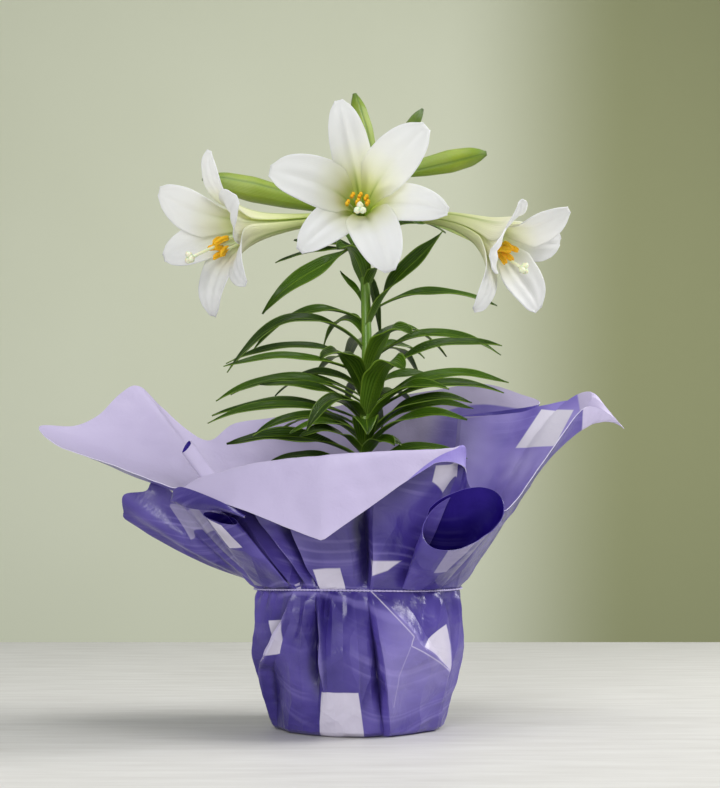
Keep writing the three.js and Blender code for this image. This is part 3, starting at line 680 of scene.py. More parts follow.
def dents(angles, heights):
    depth = 0
    for angle, height, size, wide, tall in DENTS:
        for turn in (0, 180):
            off = (angles - angle - turn + 180) % 360 - 180
            above = heights - height - DENT_SLANT * off
            depth = depth + size * np.exp(-(off / wide) ** 2 - (above / tall) ** 2)
    return depth


def painted_fold_shade(offset, depth):
    """0 in a valley, a half where the sheet is flat and 1 on a crest: how much painted shade darkens a
    valley and how much painted highlight lightens a crest.
    """
    return 0.5 + 0.5 * np.clip(offset / depth, -1, 1)


def wrapped(values, turn=0):
    """A ring of columns with its first one again at the end, a turn further on."""
    return np.concatenate([values, values[:, :1] + turn], 1)


def with_foot(rows):
    """Carries the lowest ring on under the pot."""
    feet = []
    for radius, height in FOOT:
        share = radius / WALL[1][1]
        foot = rows[0] * [share, share, 0] + [0, 0, height + FILM / 2]
        if height == 0:
            foot = np.concatenate([radius * unit(rows[0][:, :2]), foot[:, 2:]], -1)
        feet.append(foot)
    return np.concatenate([np.array(feet), rows])


def wrap_wall():
    heights = two_runs(4, 104, WAIST_Z, 51, 9)
    down = WAIST_Z - heights
    front = [[(WAIST_Z - z, angle, out) for z, angle, out in fold] for fold in WALL_FOLDS]
    back = [[(z, angle - 180, out) for z, angle, out in fold] for fold in front]
    angles, offsets = fold_lines(back + front, down)
    grip = 0.25 + 0.75 * step(0, WALL_GRIP, down)
    radii = soft(WALL, heights, 4)[:, None] + FOLD_DEPTH * offsets * grip[:, None]
    radii = np.maximum(radii, np.interp(heights, *POT_LINE)[:, None])
    widths = np.append(angles[:, 1:], angles[:, :1] + 360, axis=1) - angles
    counts = np.maximum(2, np.round(widths.max(axis=0) / WALL_COLUMN).astype(int))
    x = spread(radii * np.cos(np.radians(angles)), counts, 0)
    y = spread(radii * np.sin(np.radians(angles)), counts, 0)
    t = np.concatenate([np.arange(count) / count for count in counts])
    bow = np.repeat(widths, counts, axis=1)
    bow = radii.mean() * (1 - np.cos(np.radians(bow / 2))) * 4 * t * (1 - t) * BULGE
    flat = np.hypot(x, y)
    grown = (flat + bow) / flat
    rows = np.stack([x * grown, y * grown, np.broadcast_to(heights[:, None], x.shape)], -1)
    crease = 0.45 * creases(rows, size=30, seed=3) + 0.2 * waves(rows, size=11, seed=4)
    angle, loose = np.arctan2(y, x), step(0, 4, down)[:, None]
    tucks = gathers(angle, step(WALL_TUCKS, 2, down)[:, None] * loose)
    dented = dents(np.degrees(angle), heights[:, None]) * loose
    rows = pushed(rows, crease * step(0, 8, down)[:, None] + tucks - dented, ring=True)
    rows = with_foot(rows)
    # The offsets of the folds set their painted shade and painted highlight.
    tone = painted_fold_shade(spread(offsets * grip[:, None], counts, 0), WALL_FOLD_SHADE)
    tone = wrapped(np.concatenate([np.full((len(FOOT), tone.shape[1]), 0.5), tone]))
    degrees = np.degrees(np.unwrap(np.arctan2(rows[..., 1], rows[..., 0]), axis=1)) % 720
    degrees = np.where(degrees > 540, degrees - 720, degrees)
    plan = pairs(wrapped(degrees, 360) * math.radians(WAIST_R), rows[:, :1, 2])
    return wrap_piece("wall", rows, plan, 10, ring=True, pole=True, tone=tone)


# The second fold of the sheet under the left wing: place on the collar, then its outer edge.
LOBE = [
    [26.6, -143, 20, 148], [29, -186, 5, 166], [29.8, -189, -5, 175], [30.6, -187, -15, 187],
    [31.2, -170, -14, 190], [31.8, -165, -13, 197], [32.4, -151, -18, 192], [33, -143, -30, 184],
    [33.7, -133, -54, 182], [34.4, -112, -72, 176], [35, -95, -80, 167],
]
LOBE_ROOT = 0.07  # share of the way up the collar where it starts
LOBE_SAG = 4
LOBE_PLEAT = 1.4  # height of its pleats
LOBE_PLEATS = 4.2  # how far their wave turns from one spine to the next, in radians


def wrap_lobe():
    edge = curve(LOBE, 61)
    f = np.linspace(0, 1, 26)[:, None]
    root = collar_point(edge[:, 0], np.full(len(edge), LOBE_ROOT))
    rows = root + (edge[None, :, 1:] - root) * f[..., None]
    rows[..., 2] -= LOBE_SAG * np.sin(math.pi * f)
    pleat = LOBE_PLEAT * np.sin(edge[:, 0] * LOBE_PLEATS) * np.sin(math.pi * f) ** 0.5
    crease = 0.5 * waves(rows, size=40, seed=5) + 0.2 * waves(rows, size=12, seed=6)
    rows = pushed(rows, pleat + crease * f)
    return wrap_piece("lobe", rows, pairs(2 * PLAN_STEP + SPINE_PLAN * edge[:, 0], RISE_PLAN * f), 24)


# Rolled parts of the sheet: middle and two half-widths at the tie end and at the mouth, and the angle
# round the mouth of the roll's first edge.
ROLLS = {
    "right": ([(47.5, -69, 113), (16, 11, 0), (-1, 1.4, 1.4)],
              [(76.5, -101, 165), (32, 3, 5), (7, 7, 24)], 119),
    "under": ([(-66.5, -53.7, 115), (15, -20, 0), (1.2, 0.9, 1.5)],
              [(-101.7, -100, 166), (12.9, 3, -3.2), (-0.5, 3, 3.8)], 60),
    "small": ([(-98, -78, 178), (6, 3, 3.5), (-1, 2.2, 0)],
              [(-131, -61, 222), (3, -2, 1.3), (1.8, 3.8, 5)], 30),
}
ROLL_ARC = 390  # degrees that a roll is wound through
ROLL_TAPER = 0.12  # how much tighter a roll is wound at its first edge than at its last
FIRST_LAYER = 0.17  # share of a roll where the inside of its first layer catches the light


def wrap_roll(name, outside, shift):
    root, mouth, start = ROLLS[name]
    turn = np.linspace(0, 1, 97)
    angle = np.radians(start + ROLL_ARC * turn)[:, None]
    size = (1 - ROLL_TAPER * (1 - turn))[:, None]
    rings = []
    for middle, across, up in (root, mouth):
        rings.append(middle + size * (np.cos(angle) * across + np.sin(angle) * up))
    f = np.linspace(0.02, 1, 30)[:, None]
    rows = mix(*rings, f[..., None])
    # Inside, the rolls take the darker copy of the print as painted shade, except the first layer of the
    # right roll, which catches the light.
    inside = np.where((turn[:-1] < FIRST_LAYER) & (name == "right"), 0, 3)
    crease = (0.5 * waves(rows, size=30, seed=shift) + 0.15 * waves(rows, size=9, seed=shift + 1)) * f
    rows = pushed(rows, crease)
    plan = pairs(shift * PLAN_STEP + ROLL_PLAN * turn, RISE_PLAN * f)
    return wrap_piece(f"roll_{name}", rows, plan, 30, looks=(outside, inside, outside))


# The curled left corner of the front flap: its upper and its lower line.
CURL_TOP = [(-140.5, -78, 181), (-138, -79, 188), (-129, -85, 189), (-100.6, -112, 178),
            (-81.3, -122.5, 167.3)]
CURL_LOW = [(-140, -78, 179), (-128.7, -90, 174.8), (-117.2, -99, 172.3), (-99.1, -110, 170.9),
            (-81.5, -121, 166)]
CURL_BOW = np.array([-0.5, -3, -0.8])  # how far it bulges between them


def wrap_curl():
    top, low = curve(CURL_TOP, 49), curve(CURL_LOW, 49)
    f = np.linspace(0, 1, 12)[:, None, None]
    rows = top + (low - top) * f + CURL_BOW * np.sin(math.pi * f)
    plan = pairs(10 * PLAN_STEP + 60 * np.linspace(0, 1, 49), 14 * f[..., 0])
    # Its tone of 0.25 gives the whole curl painted shade, part of the way to the dark of the fold valleys.
    return wrap_piece("curl", rows, plan, 30, looks=(0, 0, 2), tone=0.25)


# Panels of the print on the plan: angle and height on the wall, place and rise on the collar and on
# the lobe, and share of the way round and rise on a roll.
WALL_PANELS = [
    [(214.2, 88), (230.2, 89.8), (224.6, 63.4), (216.9, 61.1)],
    [(249.3, 35.6), (270.2, 35.5), (273.9, 1), (244.7, 0.4)],
    [(303.7, 69.5), (310.7, 77.8), (319, 86), (325.3, 49)],
]
COLLAR_PANELS = [
    [(1.67, 0.16), (2.88, 0.16), (2.96, 0.01), (1.62, 0.01)],
    [(4.12, 0.21), (5.29, 0.2), (4.79, 0.14), (4.17, 0.11)],
    [(5.62, 0.7), (6.2, 0.62), (7.02, 0.77), (6.7, 0.85), (5.6, 0.83)],
]
WING_PANEL = [(153.8, 260.8), (176.7, 257.5), (159.5, 226.9), (131.7, 228)]  # X and Z in millimetres
LOBE_PANEL = [(31.6, 0.8), (30.9, 0.52), (33.8, 0.68), (33.9, 0.92)]
UNDER_PANEL = [(0.406, 1.0), (0.531, 0.97), (0.573, 0.643), (0.417, 0.579)]
RIGHT_PANEL = [(0.365, 1.0), (0.469, 1.0), (0.448, 0.417), (0.375, 0.449)]


def on_plan(panel, start, width):
    return [(start + width * place, RISE_PLAN * rise) for place, rise in panel]


def wall_panel(panel, turn):
    return [((angle + turn) * math.radians(WAIST_R), z) for angle, z in panel]


# The back repeats the front, half a turn on.
PANELS = [wall_panel(panel, turn) for panel in WALL_PANELS for turn in (0, -180)]
PANELS += [on_plan(panel, PLAN_STEP + SPINE_PLAN * turn, SPINE_PLAN)
           for panel in COLLAR_PANELS for turn in (0, TURN / 2)]
PANELS += [on_plan(UNDER_PANEL, 6 * PLAN_STEP, ROLL_PLAN)]
SOFT_PANELS = [on_plan(LOBE_PANEL, 2 * PLAN_STEP, SPINE_PLAN)]
SOFT_PANELS += [on_plan(RIGHT_PANEL, 4 * PLAN_STEP, ROLL_PLAN)]


LINE_HALF = 0.45  # half the width of a thin line, in millimetres


def plan_normal(one, two):
    """Direction across the line between two places of the plan."""
    return unit(np.array([one[1] - two[1], two[0] - one[0]]))


def thin_line(points):
    """Narrow panels along a line on the plan."""
    points = np.array(points, float)
    panels = []
    for one, two in zip(points, points[1:]):
        out = LINE_HALF * plan_normal(one, two)
        panels.append([tuple(one + out), tuple(two + out), tuple(two - out), tuple(one - out)])
    return panels


SHEET_EDGE = [(276.5, 112), (297.6, 77.5), (296.6, 70.5), (303.4, 65.5), (325, 48.5)]
WALL_CREASE = [(296.2, 70), (291.5, 48), (290, 24)]
PANELS += thin_line(wall_panel(SHEET_EDGE, 0)) + thin_line(wall_panel(SHEET_EDGE, -180))
SOFT_PANELS += thin_line(wall_panel(WALL_CREASE, 0))


def panel_mask(look, panels, flat):
    """1 on the panels and 0 round them, from how far inside its four sides a place lies."""
    where = look.vector("ADD", flat, (0, 0, 1))
    best = None
    for panel in panels:
        corners = np.array(panel, float)
        middle = corners.mean(axis=0)
        inside = None
        for one, two in zip(corners, np.roll(corners, -1, axis=0)):
            normal = plan_normal(one, two)
            if np.dot(middle - one, normal) < 0:
                normal = -normal
            plane = (*normal, -np.dot(one, normal))
            depth = look.vector("DOT_PRODUCT", where, plane, "Value")
            inside = depth if inside is None else look.math("MINIMUM", inside, depth)
        best = inside if best is None else look.math("MAXIMUM", best, inside)
    return look.band(best, -0.3, 0.5)


def violet_base(look, dark, middle, light, shine=0.5):
    """Violet print: soft clouds, with thin pale streaks that flow along in patches."""
    flow = look.plus(look.split(look.solid_place())[2], look.times(look.noise(7, 1), 0.11))
    line = look.node("CombineXYZ", flow, 0.0, 0.0).outputs[0]
    streak = look.band(look.noise(150, 2, where=line), 0.48, 0.7)
    streak = look.times(streak, look.band(look.noise(15, 1), 0.42, 0.6))
    base = look.ramp(look.noise(12, 3, 0.55), 0.35, dark, 0.5, middle, 0.65, light)
    return look.mix(look.times(streak, shine), base, "8F83CC"), streak


def add_panels(look, base, streak):
    """Lays the pale panels over the print, with a trace of the streaks in them."""
    pale = look.mix(look.times(streak, 0.3), "CFC9DC", "DDD8E8")
    soft_panels = look.times(panel_mask(look, SOFT_PANELS, look.place()), 0.4)
    base = look.mix(soft_panels, base, pale)
    return look.mix(panel_mask(look, PANELS, look.place()), base, pale)


WING_START = (1.0, 0.476, 1161.3)  # line on the plan where the inside turns violet, at the flap's end
WING_TOP = (0.207, 1.0, 391)  # and where it turns pale again, under the rear edge
WING_TIP_X = 181  # and where the tip droops, in millimetres
WING_END = 1393  # and across the sheet behind the leaves
CRUMPLED = (190, 120, 0.0, 1.0)  # the sheet is less and less crumpled above the tie, in millimetres


def violet_look(name, dark, middle, light, gloss, shine):
    """Outside of the sheet: glossy print, with painted shade in the valleys of its folds and a painted
    highlight on their crests, where the print is also worn pale. A darker, duller copy of it is the painted
    shade inside the rolls.
    """
    look = Look(name, roughness=0.5 - 0.55 * gloss, coat_weight=gloss, coat_roughness=0.2, specular=shine)
    base, streak = violet_base(look, dark, middle, light, shine)
    base = add_panels(look, base, streak)
    # Painted shade in the valleys of the folds, mixed towards near-black violet, and painted highlight on
    # their crests, mixed towards pale lilac, where the print is also worn pale.
    tone = look.tone()
    base = look.mix(look.band(tone, 0.0, 0.42, 0.9, 0.0), base, "140948")
    base = look.mix(look.band(tone, 0.7, 0.95, 0.0, 0.4), base, "A79CDA")
    side, _, height = look.millimetres()
    base = look.mix(look.edge(side, WING_TIP_X, 0.7), base, "C6BDDE")
    look.give(base=base)
    drift = look.times(look.noise(18, 1), 0.03)
    crumple = look.facets(look.vector("ADD", look.solid_place((1, 1, 0.45)), drift), 34)
    crumple = look.times(crumple, look.band(height, *CRUMPLED))
    return look.bump((look.noise(48, 3, 0.55, 0.8), 1.5), (crumple, 6.5), (look.noise(420, 4, 0.6), 0.1))


def lining_look():
    """Inside of the sheet: plain pale lilac, but violet in the right wing."""
    look = Look("wrap_lining", roughness=0.5)
    pale = look.ramp(look.noise(7, 3), 0.3, "AFA5C6", 0.7, "BBB2D0")
    violet, streak = violet_base(look, "6658AC", "8678C2", "A297D4")
    violet = add_panels(look, violet, streak)
    side, _, height = look.millimetres()
    flat = look.node("CombineXYZ", side, height, 0.0).outputs[0]
    violet = look.mix(panel_mask(look, [WING_PANEL], flat), violet, "D6D1E0")
    x, y, _ = look.split(look.place())
    masks = []
    for (across, rise, limit), low, high in ((WING_START, 0.0, 1.0), (WING_TOP, 1.0, 0.0)):
        value = look.plus(look.times(x, across), look.times(y, rise))
        masks.append(look.edge(value, limit, 0.8, low, high))
    masks.append(look.edge(x, WING_END, 6, 1.0, 0.0))
    masks.append(look.edge(side, WING_TIP_X, 0.7, 1.0, 0.0))
    wing = masks[0]
    for mask in masks[1:]:
        wing = look.times(wing, mask)
    look.give(base=look.mix(wing, pale, violet))
    return look.bump((look.noise(45, 4, 0.6, 0.4), 0.7), (look.noise(500, 3, 0.6), 0.1))


# Tie

TIE_R = 83.7  # radius of the string's middle line
PLY_R = 0.42  # radius of each of its two strands
TIE_TWISTS = 90


def tie_string():
    shape = Shape()
    turn = np.linspace(0, 2 * math.pi, 721)[:-1]
    for k in range(2):
        twist = TIE_TWISTS * turn + math.pi * k
        radius = TIE_R + PLY_R * 0.9 * np.cos(twist)
        height = WAIST_Z + PLY_R * 0.9 * np.sin(twist) + 0.5 * np.sin(3 * turn + 1)
        path = np.stack([radius * np.cos(turn), radius * np.sin(turn), height], -1)
        along = unit(np.roll(path, -1, axis=0) - np.roll(path, 1, axis=0))
        out = unit(path * [1, 1, 0])
        up = np.cross(along, out)
        across, rise = PLY_R * turned(60 * np.arange(6)).T[..., None]
        rows = path[:, None] + across * out[:, None] + rise * up[:, None]
        rows = np.concatenate([rows, rows[:1]])
        shape.grid(rows, pairs(np.arange(7) / 6, np.arange(len(rows))[:, None]), ring=True)
    fibre = grain_look("tie_fibre", [0.3, "A99CD4", 0.7, "D0C8EA"], 900, 3, 0.15, roughness=0.6,
                       sheen_weight=0.3)
    return shape.build("tie_string", [fibre])


# Blooms

# Each bloom: where it and its stalk's middle are, the way that it faces and is turned, and its length. Then
# for each tepal how far it bends open and aside, the anthers' places and length, the filaments' length, the
# style's length and where it ends, and how unevenly the anthers lean.
BLOOMS = {
    "front": {
        "base": (4, 20, 408), "via": (5, 20, 393), "heading": -91, "rise": 1.4, "roll": 194, "length": 158,
        "bend": (109, 107, 104, 110, 110, 98), "aside": (2, -3, -1, -4, 2, 5),
        "anthers": [(6.4, 0.8), (10.1, -4.9), (0.7, 0.6), (-3.9, -1.1), (-5, -4.9), (2.5, -4)],
        "anther": 7, "filament": 84, "style": (98, 0.5, -14), "scatter": 0.15,
    },
    "left": {
        "base": (-26, -4, 412), "via": (-8, 3, 401), "heading": -143, "rise": -14, "roll": 109,
        "length": 147,
        "bend": (104, 97, 101, 113, 84, 88), "aside": (6, -2, -1, -2, 2, -3),
        "anthers": [(-1.5, -7), (5, -6), (8, -11), (2.5, -13), (-2.5, -15), (6, -17)], "anther": 14,
        "filament": 90, "style": (118, 2, -17), "scatter": 0.5,
    },
    "right": {
        "base": (45, 4, 415), "via": (22, 5, 402), "heading": -36, "rise": -23, "roll": 49, "length": 139,
        "bend": (84, 70, 111, 85, 113, 91), "aside": (-8, 4, -7, -3, 11, 3), "arch": 7,
        "anthers": [(0, 1), (5, 2), (9, -2), (4, -5), (-2, -6), (7, -8)], "anther": 14,
        "filament": 84, "style": (102, 2, -11), "scatter": 0.5,
    },
}
THROAT_R = 3.2  # radius of the trumpet where the tepals leave their stalk
THROAT_SPREAD = 3  # opening of the trumpet there, in degrees
INNER_WIDTH = 42
OUTER_WIDTH = 31
LAYER = 1.3  # how far the inner tepals lie inside, and the outer ones outside
TEPAL_REACH = 0.85  # furthest that a tepal wraps round the trumpet each way, in radians
TEPAL_FILM = 0.7
GROOVE = 1.3  # depth of the groove along the midrib, and its half-width as a share of the tepal's
GROOVE_SIDE = 0.13
RUFFLE = 1.5  # height of the waves along the edges
RUFFLES = 2.6  # number of them along the tepal
EDGE_DROP = 3.2  # how strongly the edges bend back
MIDRIB_STEPS = 240
ARCH_SPAN = 105  # length of the part of a trumpet that may arch upwards
TEPAL_WIDTH = [
    (0, 0.08), (0.1, 0.2), (0.25, 0.34), (0.45, 0.57), (0.58, 0.82), (0.68, 0.96), (0.76, 0.97),
    (0.84, 0.91), (0.91, 0.76), (0.96, 0.54), (0.985, 0.33), (1, 0.06),
]


def bloom_frame(bloom):
    """Start of a trumpet, the way it faces, and its right and up."""
    turn, lift = math.radians(bloom["heading"]), math.radians(bloom["rise"])
    axis = np.array([math.cos(lift) * math.cos(turn), math.cos(lift) * math.sin(turn), math.sin(lift)])
    right = unit(np.cross(axis, [0, 0, 1]))
    return np.array(bloom["base"], float), axis, right, np.cross(right, axis)


def at(start, axis, right, up, s, x, y):
    """Places from how far they are along an axis and to its right and up."""
    return start + np.multiply.outer(s, axis) + np.multiply.outer(x, right) + np.multiply.outer(y, up)


def midrib(length, bend, t):
    """How far along the axis and out from it a tepal's midrib is at shares t, and its slope there."""
    fine = np.linspace(0, 1, MIDRIB_STEPS + 1)
    slope = np.radians(THROAT_SPREAD + (bend - THROAT_SPREAD) * fine ** 3)
    part = length / MIDRIB_STEPS
    along = np.concatenate([[0], np.cumsum(np.cos((slope[1:] + slope[:-1]) / 2) * part)])
    out = THROAT_R + np.concatenate([[0], np.cumsum(np.sin((slope[1:] + slope[:-1]) / 2) * part)])
    return np.interp(t, fine, along), np.interp(t, fine, out), np.interp(t, fine, slope)


def tepal_rows(bloom, k):
    inner = k % 2 == 1
    own = np.random.default_rng(100 + k)
    t = two_runs(0, 0.5, 1, 18, 40)
    side = np.linspace(-1, 1, 23)
    along, out, slope = (value[:, None] for value in midrib(bloom["length"], bloom["bend"][k], t))
    half = (INNER_WIDTH if inner else OUTER_WIDTH) * soft(TEPAL_WIDTH, t, 0.025)[:, None] / 2
    open_part = step(0.35, 0.75, t)[:, None]
    tip = step(0.86, 1, t)[:, None]
    shift = (-LAYER if inner else LAYER) * np.minimum(1, 0.35 + 2 * t)[:, None]
    groove = GROOVE * np.exp(-(side / GROOVE_SIDE) ** 2) * open_part * (1 - tip)
    groove = groove - 0.6 * np.exp(-((np.abs(side) - 0.32) / 0.14) ** 2) * open_part * (1 - tip)
    cup = (0.9 if inner else 1.6) * side ** 2 * open_part * (1 - tip)
    cup = cup - EDGE_DROP * np.maximum(0, np.abs(side) - 0.6) ** 1.5 * open_part
    phase = own.uniform(0, 2 * math.pi, 2)[(side > 0).astype(int)]
    ruffle = np.sin(2 * math.pi * RUFFLES * t[:, None] + phase) * RUFFLE * np.abs(side) ** 3
    ruffle = ruffle * step(0.42, 0.7, t)[:, None] * (1 - tip)
    lift = shift + groove + cup + (ruffle if inner else 0.6 * ruffle)
    angle = np.radians(bloom["roll"] + 60 * k + bloom["aside"][k])
    angle = angle + np.minimum(half / out, TEPAL_REACH) * side
    r = out + lift * np.cos(slope)
    s = along - lift * np.sin(slope)
    arch = bloom.get("arch", 0) * np.sin(math.pi * np.clip(s / ARCH_SPAN, 0, 1))
    rows = at(*bloom_frame(bloom), s, r * np.cos(angle), r * np.sin(angle) + arch)
    return rows, pairs((side + 1) / 2, t[:, None])


def bloom_petals(name):
    bloom = BLOOMS[name]
    shape = Shape()
    for k in range(6):
        rows, places = tepal_rows(bloom, k)
        shape.sheet(rows, TEPAL_FILM, places, looks=(0, 1, 0), tone=random.uniform(0.3, 0.7))
    origin, axis, _, _ = bloom_frame(bloom)
    neck = origin + np.array([[0.0], [3], [7], [11], [14]]) * axis
    shape.tube(neck, (3.3, 4.2, 4.5, 3.6, 2.2), 16, look=2)
    return shape.build(f"bloom_{name}_petals", [petal_face_look(), petal_back_look(), LOOKS["stalk"]])


def petal_face_look():
    """Inside of a tepal: white, with a yellow-green throat that runs up along the midrib."""
    look = Look("petal_face", roughness=0.5, sheen_weight=0.08)
    across, along, _ = look.split(look.place())
    off = look.off_middle(across)
    rib = look.band(off, 0.0, 0.13, 1.0, 0.0)
    base = look.ramp(along, 0.2, "DEF858", 0.42, "EAF984", 0.54, "F3F9BC", 0.66, "F9FBEE", 0.8, "FAFBFF")
    line = look.times(look.band(off, 0.0, 0.07, 1.0, 0.0), look.band(along, 0.35, 0.72, 1.0, 0.0))
    base = look.mix(look.times(line, 0.9), base, "9DB83C")
    base = look.mix(look.times(rib, look.band(along, 0.4, 0.7, 0.35, 0.0)), base, "CDDE70")
    look.give(base=look.mix(look.times(look.noise(60, 3), 0.12), base, "E6E4E6"))
    look.bump((look.lines(across, 150.0), 0.02), (look.noise(380, 3), 0.08))
    return look.let_light_through(0.55)


def petal_back_look():
    """Outside of a tepal: cream green near the stalk, with a green midrib."""
    look = Look("petal_back", roughness=0.45)
    across, along, _ = look.split(look.place())
    off = look.off_middle(across)
    rib = look.band(off, 0.02, 0.1, 1.0, 0.0)
    fade = look.band(along, 0.35, 0.85, 1.0, 0.0)
    base = look.ramp(along, 0.0, "9DB64A", 0.12, "CCD67E", 0.35, "E6E8B4", 0.65, "F1F0D8", 0.9, "F8F7EE")
    look.give(base=look.mix(look.times(look.times(rib, fade), 0.6), base, "A2B45A"))
    look.bump((look.lines(across, 120.0), 0.06), (look.noise(380, 3), 0.1))
    return look.let_light_through(0.42)


# Stamens

STAMEN_START = 14.3  # distance along the bloom where filaments and style begin
FILAMENT_R = (1.05, 0.55)  # radii at the root and at the anther
ANTHER_R = 1.5  # of each of its two halves
ANTHER_GAP = 0.95  # half the distance between them
STYLE_R = 1.35
STIGMA_R = (1.0, 1.7, 2.3, 2.6, 2.7, 2.5, 2.1, 1.4, 0.4)
STIGMA_LINE = [(-2.5, 0), (0.4, 1.8), (1.8, 3.4), (2.3, 5.2)]  # a lobe's way on from the style, and out


def add_stamen(shape, bloom, x, y):
    """A filament and its anther in two halves, at a place to the bloom's right and up."""
    around = bloom_frame(bloom)
    _, axis, right, up = around
    share = np.linspace(0, 1, 22)
    swing = share ** 1.6
    s = STAMEN_START + 1 + (bloom["filament"] - 1) * share
    path = at(*around, s, x * (0.12 + 0.88 * swing), y * swing)
    shape.tube(path, np.linspace(*FILAMENT_R, len(path)), 8, look=0)
    slant, tilt = random.uniform(-1, 1, 2) * bloom["scatter"]
    lean = unit(axis + slant * right + tilt * up)
    beside = ANTHER_GAP * unit(np.cross(lean, right + 0.6 * up))
    share = np.linspace(-0.5, 0.5, 15)
    body = ANTHER_R * np.sqrt(np.maximum(0.02, 1 - (2 * share) ** 4))
    bowed = np.multiply.outer(share * bloom["anther"], lean)
    bowed = bowed - np.multiply.outer(1.2 * (2 * share) ** 2, up)
    for half in (-1, 1):
        shape.tube(path[-1] + bowed + half * beside, body, 9, look=1, tone=random.uniform(0, 1))


def add_style(shape, bloom):
    """The style, and the three lobes of its stigma."""
    around = bloom_frame(bloom)
    reach, x_end, y_end = bloom["style"]
    share = np.linspace(0, 1, 26)
    style = at(*around, STAMEN_START + reach * share, x_end * share, y_end * share ** 2)
    shape.tube(style, STYLE_R - 0.35 * np.sin(math.pi * share), 10, look=0)
    for k in range(3):
        angle = math.radians(90 + 120 * k)
        s, out = curve(STIGMA_LINE, len(STIGMA_R)).T
        x, y = x_end + out * math.cos(angle), y_end + out * math.sin(angle)
        path = at(*around, STAMEN_START + reach + s, x, y)
        shape.tube(path, STIGMA_R, 10, look=2)


def bloom_stamens(name):
    bloom = BLOOMS[name]
    shape = Shape()
    for x, y in bloom["anthers"]:
        add_stamen(shape, bloom, x, y)
    add_style(shape, bloom)
    anther = grain_look(
        "anther", [0.3, "F2A200", 0.5, "FFC012", 0.7, "FFDA4C"], 1500, 4, 0.5, 0.7, roughness=0.8,
        subsurface_weight=0.3, subsurface_scale=0.002)
    stigma = grain_look("stigma", [0.3, "D9E2B8", 0.7, "F0F2DC"], 900, 3, 0.2, roughness=0.3,
                        subsurface_weight=0.3, subsurface_scale=0.002)
    return shape.build(f"stamens_{name}_threads", [filament_look(), anther, stigma])


def filament_look():
    look = Look("filament", roughness=0.4, subsurface_weight=0.2, subsurface_scale=0.002)
    _, along, _ = look.split(look.place())
    look.give(base=look.ramp(along, 0.0, "A8C05A", 0.5, "D2E09A", 1.0, "EDF0D2"))
    return look.bump((look.noise(700, 2), 0.06))


# Buds

# Each bud: where it starts and ends, its radius, and the middle of its stalk.
BUDS = {
    "left": {"base": (-21, 16, 424), "tip": (-128, 12, 449), "radius": 10.5, "via": (-8, 10, 402)},
    "top": {"base": (16, 16, 440), "tip": (-3, 8, 517.5), "radius": 8, "via": (14, 19, 411)},
    "right": {"base": (27, 12, 452), "tip": (106, 14, 470), "radius": 9.5, "via": (20, 4, 411)},
    "small": {"base": (23, 22, 464), "tip": (54, 27, 511), "radius": 5.5, "via": (20, 20, 416)},
}
SEAM = 0.1  # depth of a bud's seams and height of its ribs, as shares of its radius
RIB = 0.04
BUD_TWIST = 0.25  # from its base to its tip, in radians
BUD_SHAPE = [(0, 0.3), (0.05, 0.42), (0.12, 0.5), (0.35, 0.8), (0.62, 1), (0.84, 0.82), (0.94, 0.5),
             (1, 0.16)]


def bud_body(name):
    """A closed bud: six tepals meet in shallow seams, and three of them carry a raised midrib."""
    bud = BUDS[name]
    start, end = (np.array(bud[key], float) for key in ("base", "tip"))
    axis = unit(end - start)
    side = unit(np.cross(axis, [0, 1, 0]))
    up = np.cross(side, axis)
    t = np.linspace(0, 1, 60)[:, None]
    columns = 72
    around = np.arange(columns) / columns
    swell = soft(BUD_SHAPE, t, 0.03)
    seam = np.abs(np.sin(3 * math.pi * around))
    rib = np.exp(-((((around * 3) % 1) - 0.5) / 0.07) ** 2)
    section = 1 - SEAM + SEAM * seam ** 0.45 + RIB * rib
    twist = 2 * math.pi * around + BUD_TWIST * t
    r = bud["radius"] * swell * section
    rows = at(start, end - start, side, up, t, r * np.cos(twist), r * np.sin(twist))
    shape = Shape()
    shape.closed(rows, pairs(np.append(around, 1.0), t), flip=True)
    return shape.build(f"bud_{name}_body", [LOOKS["small bud" if name == "small" else "bud"]])


def bud_look(name, shade):
    look = Look(name, roughness=0.38, coat_weight=0.15, coat_roughness=0.3, subsurface_weight=0.12,
                subsurface_scale=0.003)
    around, along, _ = look.split(look.place())
    seam = look.band(look.math("ABSOLUTE", look.lines(around, math.pi * 3)), 0.0, 0.35, 1.0, 0.0)
    veins = look.lines(around, 330.0)
    base = look.ramp(along, 0.0, "5C7C0C", 0.2, "789212", 0.7, "8CA01C", 0.92, "708A12", 1.0, "587410")
    base = look.mix(look.times(look.band(veins, 0.2, 1.0), 0.22), base, "6A8C22")
    base = look.mix(look.times(seam, 0.6), base, "55771A")
    look.give(base=look.mix(shade, base, "2C5010"))
    return look.bump((veins, 0.07), (look.noise(300, 3), 0.15))


# Leafy stem

STEM = [(0, 0, 60.3), (0, 0, 105), (4, 0, 191), (7, 1, 291), (6, 2, 356), (5, 2, 389)]
STEM_R = 4.4
STEM_TOP_R = 3.6
FORK = (5, 2, 379)
BLOOM_STALK_R = (2.8, 3.3)  # radii at the fork and at the bloom
BUD_STALK_R = 2.2
BUD_HEEL = 0.32  # radius of a bud's stalk where it meets the bud, as a share of the bud's
